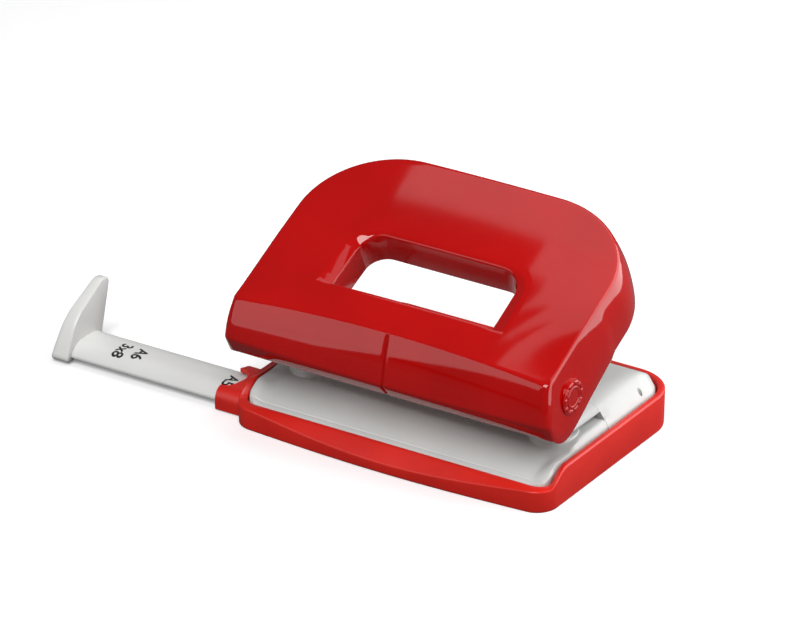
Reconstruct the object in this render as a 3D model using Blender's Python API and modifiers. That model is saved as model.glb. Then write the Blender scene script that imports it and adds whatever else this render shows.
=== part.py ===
"""Two-hole office punch with a chip tray, a hinged press lever and a sliding paper stop.

World frame: X runs along the long side, -Y faces the paper, +Z is up.
The origin is the middle of the flat face that the chip tray rests on.
Sizes below are in millimetres and mm() turns them into metres.
"""
import math

import bmesh
import bpy
from mathutils import Matrix, Vector

# ---- driving dimensions, millimetres ----
HOLE_SPACING = 80.0          # centre to centre of the two punched holes
PIN_X = HOLE_SPACING / 2
PIN_Y = -12.0                # punch line, 12 mm in front of the paper's stop
PIN_RADIUS = 2.75            # 5.5 mm holes
AXLE_Y = -27.7
AXLE_Z = 33.7
AXLE_RADIUS = 2.0
AXLE_HALF_LENGTH = 48.4
PIVOT_BLOCK_X = 49.0
RUNNING = 0.06               # radial clearance of a shaft in its hole
GAP = 0.3                    # clearance between neighbouring pieces

BASE_HALF_WIDTH = 52.85
BASE_FRONT = -37.4
BASE_BOW = 2.1               # how far the front wall swells forward in the middle
BASE_BACK = 38.2
BASE_FRONT_RADIUS = 7.0
BASE_BACK_RADIUS = 14.0
RIM_Z = 11.2                 # side and rear rim of the tray
FRONT_RIM_Z = 6.9
FLOOR_Z = 1.9
TRAY_WALL = 2.3

THROAT_FLOOR_Z = 13.0
THROAT_ROOF_Z = 15.05
THROAT_END_Y = 1.2
PLATE_HALF_WIDTH = 47.0
PLATE_FRONT_Y = -19.0
COVER_WALL = 2.0
BRACKET_SEAT_Z = 16.7

DIE_BOSS_RADIUS = 8.2
DIE_TOP_Z = 13.3
DIE_RADIUS = 5.0
DIE_THICKNESS = 2.0

FLANGE_Z = BRACKET_SEAT_Z + GAP
SHEET = 1.5                  # steel sheet of the axle brackets
EAR_X = 31.0                 # inner face of each bracket's ear
BUSH_RADIUS = 4.0
BUSH_TOP_Z = 19.6
PIN_TIP_Z = 15.3
PIN_TOP_Z = 33.2
CLIP_Z = 30.6
CLIP_THICKNESS = 1.0
SPRING_WIRE = 0.8
SPRING_RADIUS = 3.8
SPRING_TURNS = 2.6           # free turns between the two closed end turns
SCREW_XS = (34.5, 38.2)      # screws of each bracket, from the middle
SCREW_HEAD_RADIUS = 1.7

LEVER_SLOPE = math.radians(25.5)
LEVER_Y = -36.0              # foot of the lever's top face, at its front crease
LEVER_Z = 41.5
LEVER_HALF_WIDTH = 52.2      # at the front crease
LEVER_LENGTH = 61.7          # along the top face
LEVER_CORNER = (29.0, 25.2)  # rear corner radii, across and along
LEVER_WALL = 2.4
LEVER_SKIRT = 19.5           # depth of the skirt below the top face
WINDOW_HALF_WIDTH = 26.4
WINDOW_FRONT = 12.5
WINDOW_BACK = 33.3
WINDOW_CORNER = 7.5
WINDOW_DEPTH = 10.0
WINDOW_WALL = 2.2

RAIL_LEFT = -112.5           # inner face of the paper stop
RAIL_RIGHT = 3.0
BRACKET_LEFT = -61.4
FENCE_FOOT = 6.2
FENCE_TIP = 3.4

# ---- finishes: linear colour, roughness, metallic ----
RED_ABS = ((0.62, 0.012, 0.010), 0.25, 0.0)
DARK_RED_ABS = ((0.30, 0.012, 0.012), 0.40, 0.0)
LIGHT_GREY_ABS = ((0.62, 0.62, 0.60), 0.40, 0.0)
STEEL = ((0.56, 0.57, 0.58), 0.30, 1.0)
BLACK_STEEL = ((0.16, 0.16, 0.17), 0.40, 1.0)

ARC_STEPS = 6
ROUND_STEPS = 32

for old in list(bpy.data.objects):
    bpy.data.objects.remove(old, do_unlink=True)

PARTS = bpy.data.collections.new("hole_punch")
CUTTERS = bpy.data.collections.new("cutters")
bpy.context.scene.collection.children.link(PARTS)
bpy.context.scene.collection.children.link(CUTTERS)


def mm(value):
    """Millimetres to metres."""
    return value * 0.001


# ---- planes that outlines are drawn in: local x, y and z as world directions ----
FLAT = Matrix.Identity(4)
SIDE = Matrix(((0, 0, 1, 0), (1, 0, 0, 0), (0, 1, 0, 0), (0, 0, 0, 1)))
FRONT = Matrix(((1, 0, 0, 0), (0, 0, -1, 0), (0, 1, 0, 0), (0, 0, 0, 1)))
COS = math.cos(LEVER_SLOPE)
SIN = math.sin(LEVER_SLOPE)
LEVER_FACE = Matrix((
    (1, 0, 0, 0),
    (0, COS, -SIN, mm(LEVER_Y)),
    (0, SIN, COS, mm(LEVER_Z)),
    (0, 0, 0, 1),
))


# ---- outlines ----
def arc(cx, cy, rx, ry, start, end, steps=ARC_STEPS):
    """Points of an elliptic arc, angles in degrees."""
    angles = [math.radians(start + (end - start) * i / steps) for i in range(steps + 1)]
    return [(cx + rx * math.cos(a), cy + ry * math.sin(a)) for a in angles]


def rectangle(x0, x1, y0, y1):
    """A closed rectangle."""
    return [(x0, y0), (x1, y0), (x1, y1), (x0, y1)]


def both_sides(half):
    """Complete an outline from its right half, which has no points on the middle line."""
    return half + [(-x, y) for x, y in reversed(half)]


def base_outline(inset, bow=BASE_BOW):
    """Tray or cover footprint: bowed front, small front corners, large rear corners."""
    side = BASE_HALF_WIDTH - inset
    front = BASE_FRONT + inset
    back = BASE_BACK - inset
    front_radius = max(BASE_FRONT_RADIUS - inset, 1.5)
    back_radius = BASE_BACK_RADIUS - inset
    reach = side - front_radius
    half = []
    for i in range(8):
        x = reach * i / 8
        half.append((x, front - bow * math.cos(math.pi / 2 * x / reach)))
    half += arc(side - front_radius, front + front_radius, front_radius, front_radius, -90, 0)
    half += arc(side - back_radius, back - back_radius, back_radius, back_radius, 0, 90, 8)
    return half + [(-x, y) for x, y in reversed(half[1:])]


def smooth_step(y0, z0, y1, z1, steps=8):
    """An S-shaped run between two points."""
    points = []
    for i in range(steps + 1):
        t = i / steps
        points.append((y0 + (y1 - y0) * t, z0 + (z1 - z0) * (3 * t * t - 2 * t ** 3)))
    return points


def deck_height(y):
    """Height of the sloping paper deck, which levels out at the throat."""
    t = min(max((y + 33.5) / 25.0, 0.0), 1.0)
    return 6.6 + (THROAT_FLOOR_Z - 6.6) * math.sin(math.pi / 2 * t) ** 1.12


def rail_section(grow):
    """Outer section of the arched rail in Y and Z, grown by a clearance."""
    top = 6.1 + grow
    front = -29.7 - grow
    back = -14.6 + grow
    points = [(front, 2.2), (front, 2.9)]
    points += [(front + 1.2, 4.4), (front + 2.8, 5.5), (front + 4.5, top)]
    points += [(back - 4.0, top), (back - 1.9, top - 0.5), (back - 0.6, top - 1.6), (back, 3.6), (back, 2.2)]
    return points


def lever_outline(inset):
    """The lever's top face: straight sides and wide elliptic rear corners."""
    half_width = LEVER_HALF_WIDTH - inset
    length = LEVER_LENGTH - inset
    across = LEVER_CORNER[0] - inset
    along = LEVER_CORNER[1] - inset
    taper = 0.7
    half = [(half_width + 1.6, -30.0), (half_width, 0.0)]
    half += arc(half_width - taper - across, length - along, across, along, 0, 90, 10)
    half[-1] = (half[-1][0], length - 0.25)
    half.append((0.0, length))
    return half + [(-x, y) for x, y in reversed(half[:-1])]


def lever_side(offset, tongue=True):
    """The lever's side profile in Y and Z, from the apron's foot over the top."""
    def on_face(s, d):
        return (LEVER_Y + s * COS + d * SIN, LEVER_Z + s * SIN - d * COS)

    points = [(-38.8 + offset, 28.2), (-37.9 + offset, 34.0), (-35.9 + offset, 41.2 - offset * 0.6)]
    points += [on_face(1.0 + offset, 0.3 + offset), on_face(3.0, offset), on_face(52.0, offset)]
    points += [on_face(58.5, offset + 0.3), on_face(61.6, offset + 1.1), on_face(70.0, offset + 6.0)]
    if tongue:
        points += [on_face(70.0, LEVER_SKIRT), on_face(36.0, LEVER_SKIRT), on_face(12.0, 22.0)]
        points += [on_face(4.0, 23.6), on_face(-1.0, 23.4), on_face(-4.5, 21.6)]
        points += [(-34.5, 22.2), (-37.0, 24.8)]
    else:
        points += [on_face(75.0, 60.0), (-50.0, 5.0), (-50.0, 28.0), (-38.8 + offset, 28.0)]
    return points


def window_outline(grow):
    """The lever's hand window: a trapezoid with two round rear corners."""
    half_width = WINDOW_HALF_WIDTH + grow
    front = WINDOW_FRONT - grow
    back = WINDOW_BACK + grow
    radius = WINDOW_CORNER + grow
    half = [(half_width, front)] + arc(half_width - 0.6 - radius, back - radius, radius, radius, 0, 90)
    return both_sides(half)


# ---- making solids ----
def material(name, colour, roughness, metallic):
    """A Principled material."""
    made = bpy.data.materials.new(name)
    made.use_nodes = True
    shader = made.node_tree.nodes["Principled BSDF"]
    shader.inputs["Base Color"].default_value = (*colour, 1.0)
    shader.inputs["Roughness"].default_value = roughness
    shader.inputs["Metallic"].default_value = metallic
    return made


def add_mesh(name, mesh, collection):
    """Link a mesh as an object."""
    made = bpy.data.objects.new(name, mesh)
    collection.objects.link(made)
    if collection is CUTTERS:
        made.hide_render = True
        made.display_type = "WIRE"
    return made


def prism(name, outline, low, high, plane=FLAT, collection=CUTTERS):
    """Extrude a flat outline between two heights above its plane."""
    curve = bpy.data.curves.new(name, "CURVE")
    curve.dimensions = "2D"
    curve.fill_mode = "BOTH"
    curve.extrude = mm(high - low) / 2
    spline = curve.splines.new("POLY")
    spline.points.add(len(outline) - 1)
    for point, (x, y) in zip(spline.points, outline):
        point.co = (mm(x), mm(y), 0.0, 1.0)
    spline.use_cyclic_u = True
    holder = bpy.data.objects.new(name, curve)
    bpy.context.scene.collection.objects.link(holder)
    graph = bpy.context.evaluated_depsgraph_get()
    mesh = bpy.data.meshes.new_from_object(holder.evaluated_get(graph))
    bpy.data.objects.remove(holder, do_unlink=True)
    bpy.data.curves.remove(curve)
    mesh.transform(plane @ Matrix.Translation((0, 0, mm(low + high) / 2)))
    tidy(mesh)
    return add_mesh(name, mesh, collection)


def tidy(mesh):
    """Weld a mesh and turn its faces outwards."""
    work = bmesh.new()
    work.from_mesh(mesh)
    bmesh.ops.remove_doubles(work, verts=work.verts, dist=0.000002)
    bmesh.ops.recalc_face_normals(work, faces=work.faces)
    work.to_mesh(mesh)
    work.free()


def cylinder(name, x, y, low, high, radius, top_radius=None, collection=CUTTERS, steps=ROUND_STEPS):
    """An upright cylinder or cone."""
    mesh = bpy.data.meshes.new(name)
    work = bmesh.new()
    upper = radius if top_radius is None else top_radius
    place = Matrix.Translation((mm(x), mm(y), mm(low + high) / 2))
    bmesh.ops.create_cone(work, cap_ends=True, segments=steps, radius1=mm(radius), radius2=mm(upper),
                          depth=mm(high - low), matrix=place)
    work.to_mesh(mesh)
    work.free()
    return add_mesh(name, mesh, collection)


def rod(name, x0, x1, y, z, radius, collection=CUTTERS, steps=ROUND_STEPS):
    """A cylinder lying along X."""
    mesh = bpy.data.meshes.new(name)
    work = bmesh.new()
    place = Matrix.Translation((mm(x0 + x1) / 2, mm(y), mm(z))) @ Matrix.Rotation(math.pi / 2, 4, "Y")
    bmesh.ops.create_cone(work, cap_ends=True, segments=steps, radius1=mm(radius), radius2=mm(radius),
                          depth=mm(x1 - x0), matrix=place)
    work.to_mesh(mesh)
    work.free()
    return add_mesh(name, mesh, collection)


def combine(target, tool, operation):
    """Add a Boolean modifier that cuts, joins or intersects."""
    modifier = target.modifiers.new(tool.name, "BOOLEAN")
    modifier.operation = operation
    modifier.solver = "EXACT"
    modifier.object = tool


def cut(target, *tools):
    """Cut tools away from a solid."""
    for tool in tools:
        combine(target, tool, "DIFFERENCE")


def join(target, *tools):
    """Join tools to a solid."""
    for tool in tools:
        combine(target, tool, "UNION")


def freeze(target):
    """Replace a mesh object's modifiers by their result."""
    graph = bpy.context.evaluated_depsgraph_get()
    mesh = bpy.data.meshes.new_from_object(target.evaluated_get(graph))
    target.modifiers.clear()
    target.data = mesh
    tidy(mesh)


def finish(target, look, origin=(0, 0, 0), smooth=35):
    """Give a solid its own material, its joint origin and its shading."""
    freeze(target)
    shift = Vector([mm(v) for v in origin])
    target.data.transform(Matrix.Translation(-shift))
    target.location = shift
    target.data.materials.clear()
    target.data.materials.append(material(target.name, *look))
    target.data.shade_smooth()
    target.data.set_sharp_from_angle(angle=math.radians(smooth))


def turned(name, profile, x, y, look):
    """Revolve a radius and height profile, given top to bottom, about an upright axis."""
    mesh = bpy.data.meshes.new(name)
    work = bmesh.new()
    verts = [work.verts.new((mm(r), 0, mm(z))) for r, z in profile]
    for first, second in zip(verts, verts[1:]):
        work.edges.new((first, second))
    if profile[0][0] > 0:
        work.edges.new((verts[-1], verts[0]))
    work.to_mesh(mesh)
    work.free()
    made = add_mesh(name, mesh, PARTS)
    screw = made.modifiers.new("turn", "SCREW")
    screw.steps = ROUND_STEPS
    screw.render_steps = ROUND_STEPS
    screw.use_merge_vertices = True
    screw.merge_threshold = 0.000002
    made.location = (mm(x), mm(y), 0)
    bpy.context.view_layer.update()
    graph = bpy.context.evaluated_depsgraph_get()
    result = bpy.data.meshes.new_from_object(made.evaluated_get(graph))
    result.transform(made.matrix_world)
    made.modifiers.clear()
    made.data = result
    made.location = (0, 0, 0)
    tidy(result)
    finish(made, look, (x, y, 0))


# ---- chip tray ----
def build_tray():
    """Chip tray: walls, rail tunnel at the left with its thumb bay and hook."""
    tray = prism("chip_tray", base_outline(0.0), 0.0, RIM_Z, collection=PARTS)
    for vertex in tray.data.vertices:
        if vertex.co.z > mm(RIM_Z) / 2:
            vertex.co.x *= 1 - 0.5 / BASE_HALF_WIDTH
            vertex.co.y *= 1 - 0.9 / BASE_BACK
    bevel = tray.modifiers.new("edges", "BEVEL")
    bevel.width = mm(0.5)
    bevel.segments = 1
    bevel.limit_method = "ANGLE"
    bevel.angle_limit = math.radians(60)
    wall = rail_section(1.5)
    sleeve = prism("sleeve", [(wall[0][0], 0.4)] + wall[1:-1] + [(wall[-1][0], 0.4)],
                   BRACKET_LEFT, -50.0, SIDE)
    join(tray, sleeve)
    hollow = prism("hollow", tray_hollow(), FLOOR_Z, 30.0)
    front = [(-60.0, FRONT_RIM_Z - 14.0), (-34.2, FRONT_RIM_Z)]
    front += smooth_step(-33.4, FRONT_RIM_Z, -25.5, RIM_Z + 0.3) + [(-25.5, 30.0), (-60.0, 30.0)]
    drop = prism("front_drop", front, -60.0, 60.0, SIDE)
    tunnel_section = rail_section(GAP)
    tunnel_section[0] = (tunnel_section[0][0], FLOOR_Z)
    tunnel_section[-1] = (tunnel_section[-1][0], FLOOR_Z)
    tunnel = prism("tunnel", tunnel_section, -70.0, -45.0, SIDE)
    bay = arc(-60.6, -24.6, 4.3, 4.3, 90, -90, 10)
    bay = [(-66.0, -20.3)] + bay + [(-66.0, -28.9)]
    scoop = prism("scoop", bay, 5.0, 30.0)
    cut(tray, hollow, drop, tunnel, scoop)
    finish(tray, RED_ABS)


def tray_hollow():
    """Inside of the tray: straight front ledge, side and rear walls of even thickness."""
    inset = TRAY_WALL
    side = BASE_HALF_WIDTH - inset
    back = BASE_BACK - inset
    radius = BASE_BACK_RADIUS - inset
    front = -33.6
    half = arc(side - 4.5, front + 4.5, 4.5, 4.5, -90, 0, 4)
    half += arc(side - radius, back - radius, radius, radius, 0, 90, 8)
    return both_sides(half)


# ---- base cover ----
def cover_footprint(inset):
    """Outline of the grey cover inside the tray's walls."""
    side = BASE_HALF_WIDTH - TRAY_WALL - GAP - inset
    back = BASE_BACK - TRAY_WALL - GAP - inset
    front = -33.6 + GAP + inset
    radius = BASE_BACK_RADIUS - TRAY_WALL - GAP - inset
    small = max(4.2 - inset, 1.0)
    half = arc(side - small, front + small, small, small, -90, 0, 4)
    half += arc(side - radius, back - radius, radius, radius, 0, 90, 8)
    return both_sides(half)


def build_cover():
    """Grey cover: paper deck, throat, upper plate and closed rear body, open below."""
    side = [(-40.0, 4.0), (-40.0, 6.6)]
    side += [(y, deck_height(y)) for y in (-33.5, -31, -28, -25, -22, -19, -16, -13, -10.5)]
    side += [(-8.5, THROAT_FLOOR_Z), (THROAT_END_Y, THROAT_FLOOR_Z), (THROAT_END_Y, THROAT_ROOF_Z)]
    side += [(PLATE_FRONT_Y + 2.5, THROAT_ROOF_Z), (PLATE_FRONT_Y, THROAT_ROOF_Z + 1.0)]
    side += [(PLATE_FRONT_Y + 0.6, 17.4), (PLATE_FRONT_Y + 3, 18.2), (4.0, 18.6), (16.0, 18.0)]
    side += [(24.0, 17.0), (30.0, 15.6), (33.5, 13.6), (35.2, 10.8), (40.0, 6.0), (40.0, 4.0)]
    cover = prism("base_cover", side, -60.0, 60.0, SIDE, PARTS)
    front = [(0.0, 2.0), (60.0, 2.0), (60.0, 9.0), (50.3, 9.6), (49.6, 11.4), (48.6, 13.0), (47.3, 14.9)]
    front += [(46.0, 16.0), (44.0, 16.9), (40.0, 17.8), (34.0, 18.6), (24.0, 19.2), (0.0, 19.4)]
    crown = prism("crown", front + [(-x, z) for x, z in reversed(front[1:-1])], -60.0, 60.0, FRONT)
    footprint = prism("footprint", cover_footprint(0.0), 3.0, 40.0)
    combine(cover, footprint, "INTERSECT")
    combine(cover, crown, "INTERSECT")
    freeze(cover)

    under_side = [(-45.0, 0.0), (-45.0, 4.4)]
    under_side += [(y, deck_height(y) - COVER_WALL) for y in (-31.4, -28, -25, -22, -19, -16, -13)]
    under_side += [(-9.0, THROAT_FLOOR_Z - COVER_WALL), (THROAT_END_Y + 1, THROAT_FLOOR_Z - COVER_WALL)]
    under_side += [(THROAT_END_Y + 2.5, 16.0), (16.0, 15.8), (24.0, 14.8), (30.0, 13.2), (33.0, 10.6)]
    under_side += [(36.0, 6.0), (36.0, 0.0)]
    under = prism("under", under_side, -60.0, 60.0, SIDE)
    under_front = [(0.0, -1.0), (60.0, -1.0), (60.0, 7.6), (48.4, 8.2), (47.4, 10.6), (45.6, 12.6)]
    under_front += [(42.0, 14.2), (36.0, 15.4), (24.0, 17.0), (0.0, 17.2)]
    under_crown = prism("under_crown", under_front + [(-x, z) for x, z in reversed(under_front[1:-1])],
                        -60.0, 60.0, FRONT)
    under_foot = prism("under_foot", cover_footprint(COVER_WALL), 0.0, 40.0)
    combine(under, under_foot, "INTERSECT")
    combine(under, under_crown, "INTERSECT")
    freeze(under)
    cut(cover, under)

    for sign in (-1, 1):
        tag = "left" if sign < 0 else "right"
        x = sign * PIN_X
        edge = sorted((sign * PLATE_HALF_WIDTH, sign * 70.0))
        far_shoulder = rectangle(*edge, -60.0, THROAT_END_Y)
        shoulder = prism("shoulder_" + tag, far_shoulder, THROAT_FLOOR_Z + 0.02, 40.0)
        cut(cover, shoulder)
        foot = cylinder("boss_foot_" + tag, x, PIN_Y, 8.6, 12.2,
                        DIE_BOSS_RADIUS + 1.2, DIE_BOSS_RADIUS + 0.6)
        boss = cylinder("boss_" + tag, x, PIN_Y, 9.0, DIE_TOP_Z, DIE_BOSS_RADIUS)
        screw_ground = rectangle(*sorted((sign * 31.2, sign * 40.6)), 2.0, 10.0)
        screw_block = prism("screw_block_" + tag, screw_ground, 9.0, BRACKET_SEAT_Z + 0.5)
        join(cover, foot, boss, screw_block)
        seat = prism("seat_" + tag, rectangle(*sorted((sign * (EAR_X - 0.4), sign * 43.4)), -30.0, 2.6),
                     BRACKET_SEAT_Z, 30.0)
        tail = rectangle(*sorted((sign * (EAR_X - 0.4), sign * 40.4)), -2.0, 9.8)
        seat_back = prism("seat_back_" + tag, tail, BRACKET_SEAT_Z, 30.0)
        pocket_floor = DIE_TOP_Z - DIE_THICKNESS - GAP
        pocket = cylinder("pocket_" + tag, x, PIN_Y, pocket_floor, 14.0, DIE_RADIUS + GAP)
        chute = cylinder("chute_" + tag, x, PIN_Y, 2.0, 13.0, PIN_RADIUS + 0.9)
        bush_hole = cylinder("bush_hole_" + tag, x, PIN_Y, 14.0, 24.0, BUSH_RADIUS + GAP)
        cut(cover, seat, seat_back, pocket, chute, bush_hole)
        for screw_x in SCREW_XS:
            hole_name = f"screw_hole_{tag}_{screw_x}"
            hole = cylinder(hole_name, sign * screw_x, 6.2, 10.6, 24.0, 1.5, steps=16)
            cut(cover, hole)
    rail_gate = [(y, z + 0.2) for y, z in rail_section(0.5)]
    rail_gate = [(rail_gate[0][0], 2.0)] + rail_gate + [(rail_gate[-1][0], 2.0)]
    cut(cover, prism("rail_gate", rail_gate, -60.0, -40.0, SIDE))
    cut(cover, cylinder("peg_hole", 45.6, 21.9, 10.0, 30.0, 0.8, steps=12))
    finish(cover, LIGHT_GREY_ABS)


# ---- punching unit ----
def build_punch_units():
    """Dies, guide bushes, pins, clips, springs, axle brackets and screws of both sides."""
    for sign, tag in ((-1, "left"), (1, "right")):
        x = sign * PIN_X
        low = DIE_TOP_Z - DIE_THICKNESS
        bore = PIN_RADIUS + 0.1
        outline = [(bore, DIE_TOP_Z), (DIE_RADIUS - 0.3, DIE_TOP_Z), (DIE_RADIUS, DIE_TOP_Z - 0.3),
                   (DIE_RADIUS, low), (bore, low)]
        turned("die_" + tag, outline, x, PIN_Y, STEEL)
        guide = PIN_RADIUS + RUNNING
        turned("guide_bush_" + tag, [
            (guide, BUSH_TOP_Z), (BUSH_RADIUS + 1.0, BUSH_TOP_Z), (BUSH_RADIUS + 1.0, BUSH_TOP_Z - 0.8),
            (BUSH_RADIUS, BUSH_TOP_Z - 0.8), (BUSH_RADIUS, THROAT_ROOF_Z), (guide, THROAT_ROOF_Z)],
            x, PIN_Y, STEEL)
        groove = PIN_RADIUS - 0.6
        turned("punch_pin_" + tag, [
            (0.0, PIN_TOP_Z), (0.8, PIN_TOP_Z - 0.08), (1.6, PIN_TOP_Z - 0.33), (2.3, PIN_TOP_Z - 0.73),
            (PIN_RADIUS, PIN_TOP_Z - 1.1),
            (PIN_RADIUS, CLIP_Z + CLIP_THICKNESS + 0.2), (groove, CLIP_Z + CLIP_THICKNESS + 0.2),
            (groove, CLIP_Z - 0.2), (PIN_RADIUS, CLIP_Z - 0.2), (PIN_RADIUS, PIN_TIP_Z),
            (PIN_RADIUS - 0.35, PIN_TIP_Z), (0.0, PIN_TIP_Z + 1.2)], x, PIN_Y, STEEL)
        build_clip("pin_clip_" + tag, x, PIN_Y, groove + 0.2, 4.4)
        build_spring("return_spring_" + tag, x)
        build_bracket("axle_bracket_" + tag, sign)
        for number, screw_x in enumerate(SCREW_XS, 1):
            top = FLANGE_Z + SHEET + GAP
            turned(f"bracket_screw_{tag}_{number}", [
                (0.0, top + 1.3), (0.9, top + 1.2), (1.5, top + 0.8), (SCREW_HEAD_RADIUS, top), (1.1, top),
                (1.1, 11.2), (0.0, 10.9)], sign * screw_x, 6.2, BLACK_STEEL)


def build_clip(name, x, y, inner, outer):
    """A flat snap ring with an opening at the back."""
    opening = 28
    ring = arc(x, y, outer, outer, 90 + opening, 450 - opening, 24)
    ring += arc(x, y, inner, inner, 450 - opening - 14, 90 + opening + 14, 20)
    clip = prism(name, ring, CLIP_Z, CLIP_Z + CLIP_THICKNESS, collection=PARTS)
    finish(clip, BLACK_STEEL, (x, y, 0))


def build_spring(name, x):
    """A coil spring between the guide bush and the pin's clip, with closed end turns."""
    low = BUSH_TOP_Z + GAP + SPRING_WIRE / 2
    high = CLIP_Z - GAP - SPRING_WIRE / 2
    per_turn = 14
    steps = int((SPRING_TURNS + 2) * per_turn)
    curve = bpy.data.curves.new(name, "CURVE")
    curve.dimensions = "3D"
    curve.bevel_depth = mm(SPRING_WIRE) / 2
    curve.bevel_resolution = 2
    curve.use_fill_caps = True
    spline = curve.splines.new("POLY")
    spline.points.add(steps)
    for i, point in enumerate(spline.points):
        turn = i / per_turn
        rise = min(max(turn - 1, 0.0), SPRING_TURNS) / SPRING_TURNS
        closed = SPRING_WIRE * 1.15 * (min(turn, 1.0) + max(turn - 1 - SPRING_TURNS, 0.0))
        height = low + closed + (high - low - 2.3 * SPRING_WIRE) * rise
        angle = 2 * math.pi * turn
        point.co = (mm(x + SPRING_RADIUS * math.cos(angle)), mm(PIN_Y + SPRING_RADIUS * math.sin(angle)),
                    mm(height), 1.0)
    holder = bpy.data.objects.new(name, curve)
    bpy.context.scene.collection.objects.link(holder)
    graph = bpy.context.evaluated_depsgraph_get()
    mesh = bpy.data.meshes.new_from_object(holder.evaluated_get(graph))
    bpy.data.objects.remove(holder, do_unlink=True)
    tidy(mesh)
    spring = add_mesh(name, mesh, PARTS)
    finish(spring, STEEL, (x, PIN_Y, 0), 60)


def build_bracket(name, sign):
    """Bent steel bracket: a flange on the upper plate and an ear up to the axle."""
    low = FLANGE_Z
    flange_x = sorted((sign * EAR_X, sign * 43.0))
    bracket = prism(name, rectangle(*flange_x, -17.0, 2.3), low, low + SHEET, collection=PARTS)
    flat = rectangle(*sorted((sign * EAR_X, sign * 40.1)), 1.0, 9.4)
    tongue = prism(name + "_tongue", flat, low, low + SHEET)
    ear_outline = [(-17.0, low), (9.4, low), (9.4, low + 3.4), (3.0, low + 7.5), (-16.0, 34.6)]
    ear_outline += arc(AXLE_Y, AXLE_Z, 4.2, 4.2, 55, 250, 12)
    ear = prism(name + "_ear", ear_outline, *sorted((sign * EAR_X, sign * (EAR_X + SHEET))), SIDE)
    join(bracket, tongue, ear)
    cut(bracket, rod(name + "_eye", -60.0, 60.0, AXLE_Y, AXLE_Z, AXLE_RADIUS + RUNNING))
    cut(bracket, cylinder(name + "_bore", sign * PIN_X, PIN_Y, low - 2, low + 4, BUSH_RADIUS + GAP))
    for screw_x in SCREW_XS:
        tag = f"{name}_{screw_x}"
        cut(bracket, cylinder(tag, sign * screw_x, 6.2, low - 2, low + 4, 1.6, steps=16))
    finish(bracket, STEEL)


def build_axle():
    """The lever's axle and the two rings that keep it in its brackets."""
    axle = rod("lever_axle", -AXLE_HALF_LENGTH, AXLE_HALF_LENGTH, AXLE_Y, AXLE_Z, AXLE_RADIUS, PARTS)
    grooves = []
    for sign in (-1, 1):
        start = EAR_X + SHEET + GAP
        ends = sorted((sign * (start - 0.1), sign * (start + 0.9)))
        band = rod(f"groove_{sign}", *ends, AXLE_Y, AXLE_Z, AXLE_RADIUS + 1.0)
        core = rod(f"groove_core_{sign}", ends[0] - 1, ends[1] + 1, AXLE_Y, AXLE_Z, AXLE_RADIUS - 0.4)
        cut(band, core)
        freeze(band)
        grooves.append(band)
    cut(axle, *grooves)
    finish(axle, STEEL, (0, AXLE_Y, AXLE_Z))
    for sign, tag in ((-1, "left"), (1, "right")):
        start = EAR_X + SHEET + GAP
        opening = 28
        ring = arc(AXLE_Y, AXLE_Z, 3.6, 3.6, 90 + opening, 450 - opening, 24)
        bite = AXLE_RADIUS - 0.2
        ring += arc(AXLE_Y, AXLE_Z, bite, bite, 450 - opening - 14, 90 + opening + 14, 20)
        clip = prism("axle_clip_" + tag, ring, *sorted((sign * start, sign * (start + 0.8))), SIDE, PARTS)
        finish(clip, BLACK_STEEL)


# ---- lever ----
def build_lever():
    """Red lever shell with its hand window, and the press frame inside it."""
    shell = prism("lever_shell", lever_side(0.0), -60.0, 60.0, SIDE, PARTS)
    outline = prism("lever_plan", lever_outline(0.0), -60.0, 5.0, LEVER_FACE)
    combine(shell, outline, "INTERSECT")
    freeze(shell)
    bevel = shell.modifiers.new("edges", "BEVEL")
    bevel.width = mm(1.0)
    bevel.segments = 2
    bevel.limit_method = "ANGLE"
    bevel.angle_limit = math.radians(38)
    inner = prism("lever_inner", lever_side(LEVER_WALL, tongue=False), -60.0, 60.0, SIDE)
    inner_plan = prism("lever_inner_plan", lever_outline(LEVER_WALL), -90.0, 5.0, LEVER_FACE)
    combine(inner, inner_plan, "INTERSECT")
    collar = prism("window_collar", window_outline(WINDOW_WALL), -WINDOW_DEPTH, 10.0, LEVER_FACE)
    cut(inner, collar)
    freeze(inner)
    cut(shell, inner, prism("window", window_outline(0.0), -60.0, 20.0, LEVER_FACE))
    pivot = (0, AXLE_Y, AXLE_Z)
    finish(shell, RED_ABS, pivot, 30)

    bar = [(-38.0, 27.0), (-34.9, 23.6), (-33.4, 23.6), (-32.9, 36.0), (-34.3, 36.0),
           (-35.7, 28.2), (-37.6, 27.6)]
    frame = prism("press_frame", bar, -44.0, 44.0, SIDE, PARTS)
    for sign in (-1, 1):
        cheek = [(-34.1, 36.3), (-35.6, 27.6), (-34.2, 23.6), (-32.0, 21.7), (-29.4, 21.2), (-25.5, 22.6)]
        cheek += [(-22.4, 27.0), (-21.6, 33.5), (-7.0, 33.5), (-7.0, 37.0), (-14.0, 40.6), (-30.5, 40.0)]
        block = prism(f"pivot_block_{sign}", cheek, *sorted((sign * 43.4, sign * PIVOT_BLOCK_X)), SIDE)
        span = sorted((sign * 36.4, sign * 45.0))
        pad = prism(f"pad_{sign}", rectangle(*span, -15.6, -7.0), 33.5, 36.9)
        link = prism(f"link_{sign}", rectangle(*span, -33.0, -14.0), 35.6, 38.0)
        join(frame, block, pad, link)
    cut(frame, rod("frame_bore", -60.0, 60.0, AXLE_Y, AXLE_Z, AXLE_RADIUS + RUNNING))
    finish(frame, DARK_RED_ABS, pivot)


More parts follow.
